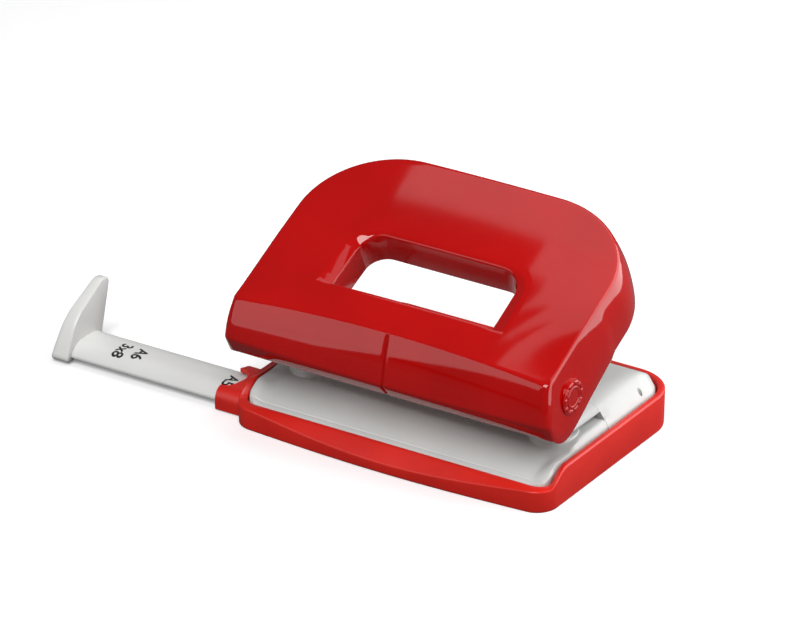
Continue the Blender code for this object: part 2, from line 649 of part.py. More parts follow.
# ---- paper stop ----
def build_rail():
    """Arched rail with its upright paper stop at the left end."""
    outer = rail_section(0.0)
    inner = [(-16.0, 2.2), (-16.2, 3.7), (-17.0, 4.4), (-19.2, 4.7), (-25.0, 4.7),
             (-26.5, 4.2), (-27.6, 3.2), (-28.2, 2.2)]
    rail = prism("stop_rail", outer + inner, RAIL_LEFT - 1.0, RAIL_RIGHT, SIDE, PARTS)
    fence = [(-31.4, 0.8), (-14.2, 0.8), (-14.0, 4.0), (-10.6, 15.8), (-9.9, 17.6), (-10.3, 19.5)]
    fence += [(-12.2, 20.5), (-13.6, 20.1), (-19.4, 16.9), (-22.6, 15.3), (-25.2, 13.7)]
    fence += [(-27.2, 11.6), (-28.8, 8.8), (-31.2, 3.0)]
    stop = prism("stop", fence, RAIL_LEFT - FENCE_FOOT, RAIL_LEFT, SIDE)
    lean = (FENCE_FOOT - FENCE_TIP) / 19.0
    for vertex in stop.data.vertices:
        if vertex.co.x < mm(RAIL_LEFT - 1):
            vertex.co.x += max(vertex.co.z - mm(1.5), 0.0) * lean
    join(rail, stop)
    finish(rail, LIGHT_GREY_ABS)


def main():
    """Build every piece."""
    build_tray()
    build_cover()
    build_punch_units()
    build_axle()
    build_lever()
    build_rail()


main()
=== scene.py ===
"""Looks of a two-hole desk punch: skins, finishes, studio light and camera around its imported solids.

World frame: X runs along the long side, -Y faces the paper, +Z is up. Sizes in the classes are in
millimetres and become metres when a mesh is made.
"""
import logging
import math
from dataclasses import dataclass, field
from enum import Enum
from typing import Optional, Sequence

import bmesh
import bpy
import numpy as np
from mathutils import Matrix, Vector


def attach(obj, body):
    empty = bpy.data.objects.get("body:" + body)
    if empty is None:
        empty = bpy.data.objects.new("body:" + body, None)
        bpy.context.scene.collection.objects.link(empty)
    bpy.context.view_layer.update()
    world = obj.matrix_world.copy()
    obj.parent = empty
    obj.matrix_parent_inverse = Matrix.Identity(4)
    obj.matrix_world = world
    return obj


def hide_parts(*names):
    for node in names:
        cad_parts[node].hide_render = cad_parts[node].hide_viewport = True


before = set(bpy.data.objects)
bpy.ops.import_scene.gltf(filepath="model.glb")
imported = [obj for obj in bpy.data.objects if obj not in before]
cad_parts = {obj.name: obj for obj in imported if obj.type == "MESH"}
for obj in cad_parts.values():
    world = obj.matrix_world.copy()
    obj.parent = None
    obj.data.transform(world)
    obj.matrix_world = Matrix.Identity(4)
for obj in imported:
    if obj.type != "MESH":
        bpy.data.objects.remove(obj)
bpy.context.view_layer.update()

MM = 0.001
WELD = 2e-6          # points closer than this many metres become one
SHARP_DEGREES = 32.0
LOG = logging.getLogger("hole_punch")


class Side(Enum):
    """The two mirrored sides of the punch."""

    LEFT = -1
    RIGHT = 1


class Skin(Enum):
    """How a moulded plastic surface left its mould."""

    POLISHED = "polished"
    SATIN = "satin"


# ---- arrays and meshes -------------------------------------------------------------------------
def pair(first: float | np.ndarray, second: float | np.ndarray) -> np.ndarray:
    """Put two coordinates side by side, each an array or one value for every place."""
    return np.stack(np.broadcast_arrays(first, second), axis=1)


def unit(vectors: np.ndarray) -> np.ndarray:
    """Scale vectors to length one.

    Args:
        vectors: an array whose last axis holds the components.

    Returns:
        The unit vectors.
    """
    return vectors / np.maximum(np.linalg.norm(vectors, axis=-1, keepdims=True), 1e-9)


def ease(t: np.ndarray) -> np.ndarray:
    """The smooth step 3t^2 - 2t^3 of a value clipped to 0..1."""
    clipped = np.clip(t, 0.0, 1.0)
    return clipped * clipped * (3.0 - 2.0 * clipped)


def run(start: float, end: float, count: int, power: float = 1.0) -> np.ndarray:
    """Values from start towards end without the end itself.

    Args:
        start: first value.
        end: the value that the next run starts with.
        count: how many values.
        power: above 1 crowds the values near the start.

    Returns:
        The values.
    """
    return start + (end - start) * (np.arange(count) / count) ** power


def smooth_path(points: Sequence[tuple[float, float]], count: int) -> np.ndarray:
    """Read a Catmull-Rom curve through points at even arc lengths.

    Each span is the cubic that leaves and enters its points along the chord of their neighbours.

    Args:
        points: the points that the curve passes.
        count: how many places are read.

    Returns:
        The places, count by 2.
    """
    knots = np.array(points, float)
    padded = np.vstack([2 * knots[0] - knots[1], knots, 2 * knots[-1] - knots[-2]])
    t = np.linspace(0.0, 1.0, 17)[:-1, None]
    spans = []
    for p0, p1, p2, p3 in zip(padded, padded[1:], padded[2:], padded[3:]):
        spans.append(0.5 * (2 * p1 + (p2 - p0) * t + (2 * p0 - 5 * p1 + 4 * p2 - p3) * t ** 2
                            + (3 * p1 - p0 - 3 * p2 + p3) * t ** 3))
    dense = np.vstack([*spans, knots[-1:]])
    return even_path(dense, count)


def even_path(points: np.ndarray, count: int) -> np.ndarray:
    """Read a polyline at even arc lengths.

    Args:
        points: the polyline, n by 2.
        count: how many places are read.

    Returns:
        The places, count by 2.
    """
    length = np.concatenate([[0.0], np.cumsum(np.linalg.norm(np.diff(points, axis=0), axis=1))])
    at = np.linspace(0.0, length[-1], count)
    return pair(np.interp(at, length, points[:, 0]), np.interp(at, length, points[:, 1]))


def rounded(points: Sequence[tuple[float, float]], radius: float, count: int) -> np.ndarray:
    """Read a closed polygon with rounded corners at even arc lengths.

    Args:
        points: the polygon's corners.
        radius: how far from a corner its curve starts and ends.
        count: how many places are read.

    Returns:
        The places, count by 2, without a repeated end.
    """
    corners = np.array(points, float)
    to_last, to_next = np.roll(corners, 1, axis=0) - corners, np.roll(corners, -1, axis=0) - corners
    span = np.minimum(np.linalg.norm(to_last, axis=1), np.linalg.norm(to_next, axis=1))[:, None]
    reach = np.minimum(radius, 0.48 * span)
    before, after = unit(to_last) * reach, unit(to_next) * reach
    t = np.linspace(0.0, 1.0, 9)[None, :, None]
    start = (corners + before)[:, None]
    end = (corners + after)[:, None]
    curve = (1 - t) ** 2 * start + 2 * t * (1 - t) * corners[:, None] + t ** 2 * end
    loop = curve.reshape(-1, 2)
    return even_path(np.vstack([loop, loop[:1]]), count + 1)[:-1]


def outward(loop: np.ndarray) -> np.ndarray:
    """Outward unit normals of a closed anticlockwise loop in a plane.

    Args:
        loop: the loop, n by 2.

    Returns:
        The normals, n by 2.
    """
    tangent = unit(np.roll(loop, -1, axis=0) - np.roll(loop, 1, axis=0))
    return pair(tangent[:, 1], -tangent[:, 0])


def mirrored(half: np.ndarray) -> np.ndarray:
    """Close a loop from its right half, whose first and last rows lie on the middle line."""
    left = half[-2:0:-1].copy()
    left[:, 0] *= -1
    return np.concatenate([half, left])


def stand(x: float | np.ndarray, loop: np.ndarray) -> np.ndarray:
    """Stand a loop of Y and Z places at one X, or at an X for each place."""
    return np.column_stack([np.broadcast_to(x, len(loop)), loop])


def lay(loop: np.ndarray, z: float | np.ndarray) -> np.ndarray:
    """Lay a loop of X and Y places at one Z, or at a Z for each place."""
    return np.column_stack([loop, np.broadcast_to(z, len(loop))])


@dataclass
class Ring:
    """A loop of corners that a skin's walls run through.

    points holds one corner for each place round the loop, radius how far from the corner its
    rounding starts, and samples how many rows the rounding takes.
    """

    points: np.ndarray
    radius: float | np.ndarray = 0.0
    samples: int = 1


def chain(rings: Sequence[Ring], closed: bool) -> np.ndarray:
    """Run straight walls from ring to ring and round each corner.

    A rounding is the quadratic curve (1-t)^2 A + 2t(1-t) C + t^2 B, from A on the wall before the
    corner C to B on the wall after it, each at the ring's radius from C.

    Args:
        rings: the rings in order.
        closed: whether the last ring runs back to the first.

    Returns:
        The skin's points, places by rows by 3.
    """
    rows = []
    for i, ring in enumerate(rings):
        inner = closed or 0 < i < len(rings) - 1
        if ring.samples < 2 or not inner:
            rows.append(ring.points)
            continue
        before = rings[i - 1].points - ring.points
        after = rings[(i + 1) % len(rings)].points - ring.points
        radius = np.broadcast_to(np.asarray(ring.radius, float), (len(ring.points),))
        reach = np.minimum(radius, 0.48 * np.linalg.norm(before, axis=1))
        reach = np.minimum(reach, 0.48 * np.linalg.norm(after, axis=1))[:, None]
        start = ring.points + unit(before) * reach
        end = ring.points + unit(after) * reach
        for t in np.linspace(0.0, 1.0, ring.samples):
            rows.append((1 - t) ** 2 * start + 2 * t * (1 - t) * ring.points + t ** 2 * end)
    return np.stack(rows, axis=1)


def put(name: str, data: bpy.types.ID) -> bpy.types.Object:
    """Make an object of some data and link it to the scene."""
    made = bpy.data.objects.new(name, data)
    bpy.context.scene.collection.objects.link(made)
    return made


def make_piece(name: str, points: np.ndarray, wrap_u: bool, wrap_v: bool, capped: bool = False,
               sharp: float = SHARP_DEGREES) -> bpy.types.Object:
    """Turn a grid of points into a closed piece with outward faces.

    Cell (i, j) of the grid is the quad between rows i and i+1 and columns j and j+1.

    Args:
        name: the piece's name.
        points: the grid in millimetres, u by v by 3.
        wrap_u: whether the last row joins the first.
        wrap_v: whether the last column joins the first.
        capped: whether the first and last rows, each a closed loop, are filled by quads between
            the two halves of the loop.
        sharp: the angle in degrees from which an edge is drawn sharp.

    Returns:
        The piece, at the origin.
    """
    rows, columns = points.shape[:2]
    index = np.arange(rows * columns).reshape(rows, columns)
    right = np.roll(index, -1, axis=1)
    up = np.roll(index, -1, axis=0)
    corner = np.roll(right, -1, axis=0)
    quads = np.stack([index, right, corner, up], axis=-1)
    quads = quads[:rows if wrap_u else rows - 1, :columns if wrap_v else columns - 1].reshape(-1, 4)
    if capped:
        half = columns // 2
        for row in (index[0], index[-1]):
            back = row[::-1]
            caps = np.stack([row[:half - 1], row[1:half], back[1:half], back[:half - 1]], axis=-1)
            quads = np.concatenate([quads, caps])
    mesh = bpy.data.meshes.new(name)
    mesh.from_pydata((points.reshape(-1, 3) * MM).tolist(), [], quads.tolist())
    work = bmesh.new()
    work.from_mesh(mesh)
    bmesh.ops.remove_doubles(work, verts=work.verts, dist=WELD)
    bmesh.ops.dissolve_degenerate(work, edges=work.edges, dist=1e-6)
    bmesh.ops.recalc_face_normals(work, faces=work.faces)
    work.to_mesh(mesh)
    work.free()
    mesh.shade_smooth()
    mesh.set_sharp_from_angle(angle=math.radians(sharp))
    return put(name, mesh)


def sheets(name: str, top: np.ndarray, bottom: np.ndarray,
           sharp: float = SHARP_DEGREES) -> bpy.types.Object:
    """Close the space between two surfaces that share a grid.

    Args:
        name: the piece's name.
        top: the upper surface in millimetres, u by v by 3.
        bottom: the lower one.
        sharp: the angle in degrees from which an edge is drawn sharp.

    Returns:
        The piece.
    """
    around = np.concatenate([top, bottom[:, ::-1]], axis=1)
    return make_piece(name, around, wrap_u=False, wrap_v=True, capped=True, sharp=sharp)


def turned(name: str, profile: np.ndarray, centre: tuple[float, float, float],
           steps: int = 96) -> bpy.types.Object:
    """Revolve a profile about an upright axis: angle a gives radius times (cos a, sin a) and height.

    Args:
        name: the piece's name.
        profile: radius and height pairs in millimetres.
        centre: where the axis starts.
        steps: places round the axis.

    Returns:
        The piece.
    """
    angle = np.linspace(0.0, 2 * math.pi, steps, endpoint=False)[:, None]
    radius, height = profile[:, 0][None], profile[:, 1][None]
    circle = np.broadcast_arrays(radius * np.cos(angle), radius * np.sin(angle), height)
    points = np.stack(circle, axis=-1) + np.array(centre)
    closed = bool(profile[0, 0] > 0)
    return make_piece(name, points, wrap_u=True, wrap_v=closed)


def carve(piece: bpy.types.Object, cutters: Sequence[bpy.types.Object],
          sharp: float = SHARP_DEGREES) -> None:
    """Cut closed shapes out of a piece and drop them.

    Args:
        piece: the piece that is cut.
        cutters: the shapes, which are removed afterwards.
        sharp: the angle in degrees from which an edge is drawn sharp.
    """
    for cutter in cutters:
        modifier = piece.modifiers.new(cutter.name, "BOOLEAN")
        modifier.operation = "DIFFERENCE"
        modifier.solver = "EXACT"
        modifier.object = cutter
    graph = bpy.context.evaluated_depsgraph_get()
    mesh = bpy.data.meshes.new_from_object(piece.evaluated_get(graph))
    piece.modifiers.clear()
    piece.data = mesh
    for cutter in cutters:
        bpy.data.objects.remove(cutter, do_unlink=True)
    mesh.shade_smooth()
    mesh.set_sharp_from_angle(angle=math.radians(sharp))


def box_cutter(name: str, low: Sequence[float], high: Sequence[float]) -> bpy.types.Object:
    """A closed box between two corners in millimetres.

    Args:
        name: its name.
        low: the lowest corner.
        high: the highest corner.

    Returns:
        The box.
    """
    xs, ys = np.meshgrid([low[0], high[0]], [low[1], high[1]], indexing="ij")
    top = np.stack([xs, ys, np.full_like(xs, high[2])], axis=-1)
    bottom = np.stack([xs, ys, np.full_like(xs, low[2])], axis=-1)
    return sheets(name, top, bottom)


def hole_cutter(name: str, x: float, y: float, low: float, high: float,
                radius: float) -> bpy.types.Object:
    """An upright closed cylinder in millimetres.

    Args:
        name: its name.
        x: its axis along X.
        y: its axis along Y.
        low: its bottom.
        high: its top.
        radius: its radius.

    Returns:
        The cylinder.
    """
    profile = np.array([(0.0, high), (radius, high), (radius, low), (0.0, low)])
    return turned(name, profile, (x, y, 0.0), steps=48)


# ---- finishes ----------------------------------------------------------------------------------
def linear(code: str) -> tuple[float, float, float, float]:
    """Turn an sRGB hex colour into the linear colour that a shader takes.

    Args:
        code: six hex digits after a #.

    Returns:
        Red, green, blue and an alpha of one.
    """
    values = [int(code[i:i + 2], 16) / 255 for i in (1, 3, 5)]
    curved = [v / 12.92 if v <= 0.04045 else ((v + 0.055) / 1.055) ** 2.4 for v in values]
    return (*curved, 1.0)


def add_node(tree: bpy.types.NodeTree, kind: str, settings: Optional[dict] = None,
             links: Optional[dict] = None) -> bpy.types.Node:
    """Add a shader node with its settings and its incoming links.

    Args:
        tree: the node tree.
        kind: the node's type name without its ShaderNode prefix.
        settings: attribute or input name to value.
        links: input name to the output socket that feeds it.

    Returns:
        The node.
    """
    node = tree.nodes.new("ShaderNode" + kind)
    for name, value in (settings or {}).items():
        if isinstance(name, int) or name in node.inputs:
            node.inputs[name].default_value = value
        else:
            setattr(node, name, value)
    for name, socket in (links or {}).items():
        tree.links.new(socket, node.inputs[name])
    return node


@dataclass(frozen=True)
class Finish:
    """What every finish has: two close tones, a wandering roughness and a fine relief."""

    name: str
    colour: str
    shade: str
    roughness: float

    def start(self) -> tuple[bpy.types.Material, bpy.types.Node, bpy.types.NodeSocket]:
        """Make the material and give it, its shader and the piece's own coordinates."""
        made = bpy.data.materials.new(self.name)
        made.use_nodes = True
        tree = made.node_tree
        return made, tree.nodes["Principled BSDF"], add_node(tree, "TexCoord").outputs["Object"]

    def feed(self, tree: bpy.types.NodeTree, patterns: Sequence[bpy.types.Node],
             band: tuple[float, float], wander: tuple[float, float], relief: float) -> None:
        """Feed the shader's colour, roughness and normal, each from its own pattern.

        Args:
            tree: the material's node tree.
            patterns: the noises behind the colour, the roughness and the relief.
            band: the noise values at which the shade ends and the colour begins.
            wander: how far the roughness falls below and rises above its usual value.
            relief: the relief's depth in millimetres.
        """
        shader = tree.nodes["Principled BSDF"]
        tone = add_node(tree, "ValToRGB", links={"Fac": patterns[0].outputs["Fac"]})
        for stop, place, code in zip(tone.color_ramp.elements, band, (self.shade, self.colour)):
            stop.position = place
            stop.color = linear(code)
        gloss = add_node(tree, "MapRange", {"To Min": self.roughness - wander[0],
                                            "To Max": self.roughness + wander[1]},
                         {"Value": patterns[1].outputs["Fac"]})
        bump = add_node(tree, "Bump", {"Strength": 1.0, "Distance": relief * MM},
                        {"Height": patterns[2].outputs["Fac"]})
        tree.links.new(tone.outputs["Color"], shader.inputs["Base Color"])
        tree.links.new(gloss.outputs["Result"], shader.inputs["Roughness"])
        tree.links.new(bump.outputs["Normal"], shader.inputs["Normal"])


@dataclass(frozen=True)
class Plastic(Finish):
    """Injection moulded ABS: an even dye, a faint cloud in it and the mould's own texture.

    A polished mould leaves long soft waves and clear reflections; a satin one leaves spark-eroded
    grit that blurs them.
    """

    skin: Skin
    grit_mm: float = 0.35
    relief: float = 0.012
    ior: float = 1.53
    cloud_mm: float = 22
    rub_mm: float = 6

    def build(self) -> bpy.types.Material:
        """Make the material."""
        made, shader, place = self.start()
        shader.inputs["IOR"].default_value = self.ior
        patterns = [add_node(made.node_tree, "TexNoise", {"Scale": 1 / (size * MM), "Detail": detail},
                             {"Vector": place})
                    for size, detail in ((self.cloud_mm, 3.0), (self.rub_mm, 5.0), (self.grit_mm, 2.0))]
        spread = 0.01 if self.skin is Skin.POLISHED else 0.06
        self.feed(made.node_tree, patterns, (0.35, 0.65), (spread, spread), self.relief)
        return made


@dataclass(frozen=True)
class Metal(Finish):
    """Steel with fine lines drawn along one direction by grinding, rolling or plating.

    stretch gives how many times shorter the lines' pattern is across each axis.
    """

    stretch: tuple[float, float, float] = (1.0, 14.0, 1.0)
    line_mm: float = 0.6
    relief: float = 0.006

    def build(self) -> bpy.types.Material:
        """Make the material."""
        made, shader, place = self.start()
        shader.inputs["Metallic"].default_value = 1.0
        lay_of_lines = add_node(made.node_tree, "Mapping", {"Scale": self.stretch}, {"Vector": place})
        lines = add_node(made.node_tree, "TexNoise", {"Scale": 1 / (self.line_mm * MM), "Detail": 4.0},
                         {"Vector": lay_of_lines.outputs["Vector"]})
        self.feed(made.node_tree, [lines] * 3, (0.3, 0.7), (0.06, 0.08), self.relief)
        return made


# ABS from a polished mould: sharp, wet-looking reflections with a slow waver.
LEVER_RED = Plastic("lever_polished_abs", "#B00807", "#A80706", 0.045, Skin.POLISHED, 2.0, 0.0006)
# ABS from a spark-eroded mould: a soft sheen with no clear reflection; real grit is finer than drawn.
TRAY_RED = Plastic("tray_satin_abs", "#D92419", "#CE1E15", 0.36, Skin.SATIN, 0.30, 0.02)
# Painted shade: the frame's red is drawn darker and duller than the lever's red plastic, as it looks in the
# shade under the lever.
FRAME_RED = Plastic("frame_abs_painted_shade", "#9E1A14", "#8E1611", 0.42, Skin.SATIN, 0.30, 0.02)
COVER_GREY = Plastic("cover_grey_abs", "#CACCCA", "#C5C7C5", 0.38, Skin.SATIN, 0.28, 0.012)
RAIL_GREY = Plastic("rail_grey_abs", "#DADAD8", "#D5D5D3", 0.34, Skin.SATIN, 0.28, 0.010)
# Pad-printed ink: near black and dull.
MARK_BLACK = Plastic("mark_ink", "#161616", "#101010", 0.45, Skin.SATIN, 0.20, 0.004)
# Hardened steel, ground round: bright, with rings that smear a highlight.
GROUND_STEEL = Metal("ground_steel", "#C4C6C8", "#B2B4B7", 0.26, (1.0, 1.0, 10.0), 0.5)
# Zinc-plated sheet: cool and cloudy, lined along the rolling.
ZINC_STEEL = Metal("zinc_plated_sheet", "#C9CBCC", "#B7BABD", 0.34, (1.0, 9.0, 9.0), 0.9)
# Drawn spring wire: darker and evenly glossy.
SPRING_STEEL = Metal("drawn_spring_wire", "#A9ACB0", "#8F9296", 0.30, (1.0, 1.0, 1.0), 0.4)
# Blackened fixings: nearly black, with a dull metal glint.
BLACK_STEEL = Metal("blackened_steel", "#3C3D40", "#2A2B2D", 0.40, (1.0, 1.0, 1.0), 0.5)


def dress(piece: bpy.types.Object, finish: bpy.types.Material) -> None:
    """Give a piece or a carried-over solid one finish.

    Args:
        piece: the object.
        finish: the material.
    """
    if piece.material_slots:
        for place in piece.material_slots:
            place.material = finish
    else:
        piece.data.materials.append(finish)


# ---- lever -------------------------------------------------------------------------------------
@dataclass
class Lever:
    """The press lever's shell, cheek bosses and pivot blocks.

    The top face is a plane at a slope: across is X, along runs up the slope from the front crease,
    and depth is measured down from it.
    """

    slope: float = math.radians(25.5)
    foot: tuple[float, float] = (-36.0, 41.5)
    half_width: float = 52.2
    taper: float = 0.7
    length: float = 61.7
    corner: tuple[float, float] = (29.0, 25.2)
    window_half: float = 26.4
    window_front: float = 12.5
    window_back: float = 33.25
    recess: float = 1.6
    collar_depth: float = 10.0
    wall: float = 2.3
    skirt_foot: float = 17.6
    skirt_edge: float = 20.9
    boss: tuple[float, float] = (-24.6, 32.4)
    slot: str = "red_lever"
    tongue: list = field(default_factory=lambda: [
        (-34.1, 22.35), (-32.4, 21.1), (-30.6, 20.3), (-28.6, 19.95), (-26.4, 20.15), (-23.4, 21.2),
        (-19.9, 23.3), (-15.4, 26.2), (-6.0, 32.0), (-1.3, 34.9)])
    upper: list = field(default_factory=lambda: [
        (-36.4, 27.9), (-34.6, 26.0), (-32.4, 24.4), (-30.2, 23.6), (-28.0, 23.4), (-25.6, 23.9),
        (-22.4, 25.5), (-18.2, 28.1), (-7.4, 34.95), (-2.7, 37.9)])

    def face(self, across: np.ndarray, along: np.ndarray, depth: np.ndarray) -> np.ndarray:
        """Place points given in the lever's own directions.

        Y is foot + along cos + depth sin, and Z is foot + along sin - depth cos.

        Args:
            across: distances along X.
            along: distances up the slope.
            depth: distances below the top plane.

        Returns:
            The points in the world, n by 3.
        """
        y = self.foot[0] + along * math.cos(self.slope) + depth * math.sin(self.slope)
        z = self.foot[1] + along * math.sin(self.slope) - depth * math.cos(self.slope)
        return np.stack(np.broadcast_arrays(across, y, z), axis=-1)

    def sink(self, loop: np.ndarray, depth: float | np.ndarray) -> np.ndarray:
        """Place a loop of across and along at a depth."""
        return self.face(loop[:, 0], loop[:, 1], depth)

    def crown(self, across: np.ndarray, along: np.ndarray) -> np.ndarray:
        """Depth of the top face, a shallow arch across that is stronger at the front crease.

        Args:
            across: distances along X.
            along: distances up the slope.

        Returns:
            Depth a + b (x / 52)^2, with a and b easing from the front's values to the rest's.
        """
        share = ease(np.asarray(along) / 30.0)
        middle = -0.4 * (1 - share)
        arch = 2.3 * (1 - share) + 1.3 * share
        return middle + arch * (np.asarray(across) / 52.0) ** 2

    def front_line(self, across: float | np.ndarray) -> float | np.ndarray:
        """How far up the slope the front crease runs: 0.93 - 1.21 (x / 52)^2."""
        return 0.93 - 1.21 * (across / 52.0) ** 2

    def stations(self) -> dict[str, np.ndarray]:
        """Lay the shell's loops side by side, each with the same places round the lever.

        The right half runs from the middle of the front crease round to the middle of the rear
        edge in seven stretches: the front, the window's corner in two, the front's end, the front
        corner, the side, the rear corner and the rear. Each loop is given in across and along.

        Returns:
            The closed loops edge, brink and drop, and the brink's depth under deep.
        """
        side_path = np.array([(self.half_width, 1.55), (self.half_width - self.taper, 36.5)])
        bend = np.linspace(0.0, math.pi / 2, 60)
        cx = self.half_width - self.taper - self.corner[0]
        cs = self.length - self.corner[1]
        bend_path = pair(cx + self.corner[0] * np.cos(bend), cs + self.corner[1] * np.sin(bend))
        path = np.vstack([side_path, bend_path, [[0.0, self.length]]])
        length = np.concatenate([[0.0], np.cumsum(np.linalg.norm(np.diff(path, axis=0), axis=1))])
        reach = np.concatenate([run(0.0, 28.5, 34), run(28.5, 76.0, 38), np.linspace(76.0, length[-1], 18)])
        outer = pair(np.interp(reach, length, path[:, 0]), np.interp(reach, length, path[:, 1]))
        front_x = np.concatenate([run(0, 32, 26, 2.0), run(32, 40, 12), run(40, 43, 4), run(43, 50.4, 8)])
        turn = run(-math.pi / 2, 0.0, 7)
        knee = pair(50.4 + 1.8 * np.cos(turn), self.front_line(50.4) + 1.8 + 1.8 * np.sin(turn))
        edge = np.vstack([pair(front_x, self.front_line(front_x)), knee, outer])

        quarter = run(0.0, math.pi / 2, 38)
        wide, fore, dip = self.window_half, self.window_front, self.recess
        brink_x = np.concatenate([run(0, 25.6, 26, 2.0), run(25.6, 26.2, 12), run(26.2, wide, 4),
                                  np.full(8 + 7, wide), run(wide, 26.1, 34), 19 + 7.1 * np.cos(quarter),
                                  np.linspace(19, 0, 18)])
        brink_s = np.concatenate([np.full(26, fore), fore + 0.15 * run(0, 1, 12), run(12.65, 13.5, 4),
                                  run(13.5, 15, 8), run(15, 16, 7), run(16, 26.3, 34),
                                  26.3 + 6.95 * np.sin(quarter), np.full(18, self.window_back)])
        brink_d = np.concatenate([np.full(26, 0.12), 0.12 + (dip - 0.12) * ease(run(0, 1, 12) * 1.6),
                                  np.full(4 + 8 + 7 + 34, dip),
                                  0.4 + (dip - 0.4) * (1 - ease(run(0, 1, 38) * 1.15)),
                                  np.full(18, 0.4)])
        drop_x = np.concatenate([run(0, 25.8, 26, 2.0), run(25.8, 30.75, 12), np.full(4, 30.75),
                                 run(30.75, 30.6, 8), run(30.6, 30.5, 7), run(30.5, 29.3, 34),
                                 19 + 10.3 * np.cos(quarter), np.linspace(19, 0, 18)])
        drop_s = np.concatenate([np.full(26, 12.0), run(12.0, 12.4, 12), run(12.4, 13.55, 4),
                                 run(13.55, 15.05, 8), run(15.05, 16.05, 7), run(16.05, 26.3, 34),
                                 26.3 + 8.2 * np.sin(quarter), np.full(18, 34.5)])
        brink = pair(brink_x, brink_s)
        drop = pair(drop_x, drop_s)
        return {"edge": mirrored(edge), "brink": mirrored(brink), "drop": mirrored(drop),
                "deep": mirrored(pair(brink_d, brink_d))[:, 1]}

    def foot_lines(self, edge: np.ndarray, away: np.ndarray) -> tuple[np.ndarray, np.ndarray]:
        """The skirt's foot and lower edge below each place of the shell's edge.

        Along the front the foot is the apron's and the lower edge lies at the end of a bevel under
        it. Round the front corner and the cheek both follow the tongue, and from there on they
        stay at fixed depths below the top plane.

        Args:
            edge: the shell's edge, in across and along.
            away: its outward normals.

        Returns:
            The foot and the lower edge in the world, each n by 3.
        """
        half = len(edge) // 2 + 1
        right = edge[:half]
        count_front, count_knee, count_side = 50, 7, 34
        x = right[:, 0]
        line = np.stack([x * 1.014, -38.9 + 0.4 * (x / 52) ** 2, 27.2 + 1.0 * (x / 52) ** 2], axis=1)
        low = np.stack([x * 1.012, np.full(half, -35.5), np.full(half, 22.9)], axis=1)
        turn = run(0.0, math.pi / 2, count_knee)
        knee = slice(count_front, count_front + count_knee)
        line[knee] = np.stack([51.0 + 2.9 * np.sin(turn), -38.5 + 2.1 * (1 - np.cos(turn)),
                               28.2 - 0.2 * turn], axis=1)
        low[knee] = np.stack([50.9 + 2.7 * np.sin(turn), -35.5 + 1.4 * (1 - np.cos(turn)),
                              22.9 - 0.35 * turn], axis=1)
        side = slice(count_front + count_knee, count_front + count_knee + count_side)
        tongue = smooth_path(self.tongue, count_side + 1)[:-1]
        low[side] = np.stack([np.linspace(53.6, 52.9, count_side), tongue[:, 0], tongue[:, 1]], axis=1)
        upper = smooth_path(self.upper, count_side + 1)[:-1]
        line[side] = np.stack([np.linspace(53.9, 53.3, count_side), upper[:, 0], upper[:, 1]], axis=1)
        rest = slice(count_front + count_knee + count_side, half)
        for target, flare, depth in ((line, 1.1, self.skirt_foot), (low, 0.7, self.skirt_edge)):
            target[rest] = self.sink(right[rest] + flare * away[:half][rest], depth)
        return mirrored(line), mirrored(low)

    def build_shell(self) -> bpy.types.Object:
        """Build the shell as one ring-shaped skin round the window.

        Returns:
            The shell: window wall, recess, crowned top, rounded crease, skirt, and the hollow side.
        """
        loops = self.stations()
        edge, brink, drop, deep = loops["edge"], loops["brink"], loops["drop"], loops["deep"]
        away = outward(edge)
        into = -outward(brink)
        frontal = np.clip(-away[:, 1], 0.0, 1.0)
        narrow = brink + into * 0.9
        rings = [Ring(self.sink(narrow, self.collar_depth), 0.5, 3)]
        rim_radius = 0.45 + 0.7 * np.clip((brink[:, 1] - 28.0) / 5.0, 0.0, 1.0)
        rings.append(Ring(self.sink(brink, deep + self.crown(*brink.T)), rim_radius, 5))
        rings.append(Ring(self.sink(drop, self.crown(*drop.T)), 0.5, 4))
        for share in (0.08, 0.2, 0.34, 0.48, 0.62, 0.74, 0.84, 0.91):
            spot = drop + (edge - drop) * share
            rings.append(Ring(self.sink(spot, self.crown(*spot.T))))
        crease = self.sink(edge, self.crown(*edge.T))
        rings.append(Ring(crease, 2.4 - 1.3 * frontal, 9))
        foot, low = self.foot_lines(edge, away)
        rearward = np.maximum(away[:, 1], 0.0)
        level = np.minimum(away[:, 1], 0.0) + rearward * math.cos(self.slope)
        heading = np.stack([away[:, 0], level, rearward * math.sin(self.slope)], axis=1)
        groove = 0.75 * np.exp(-(edge[:, 0] / 0.34) ** 2) * (frontal > 0.5)
        swell = np.where(frontal > 0.5, 0.5, 0.15 + 0.55 * ease((edge[:, 1] - 4.0) / 26.0))[:, None]
        for share in (0.15, 0.32, 0.5, 0.68, 0.84):
            wall = crease + (foot - crease) * share + heading * (swell * math.sin(math.pi * share))
            wall[:, 1] += groove
            rings.append(Ring(wall))
        toe = foot.copy()
        toe[:, 1] += groove
        rings.append(Ring(toe, 0.9 + 2.4 * ease((np.abs(toe[:, 0]) - 41.0) / 8.0), 6))
        hem = low.copy()
        hem[:, 1] += groove * 0.5
        rings.append(Ring(hem, 0.8, 4))
        inner_hem = hem - heading * self.wall
        inner_hem[:, 2] += 0.5
        rings.append(Ring(inner_hem, 0.4, 3))
        rings.append(Ring(self.sink(edge - away * self.wall, self.crown(*edge.T) + self.wall), 1.4, 4))
        collar = brink + into * -self.wall
        rings.append(Ring(self.sink(collar, self.wall + 0.3), 1.0, 3))
        rings.append(Ring(self.sink(collar, self.collar_depth), 0.4, 3))
        return make_piece("lever_skin", chain(rings, closed=True), wrap_u=True, wrap_v=True, sharp=40.0)

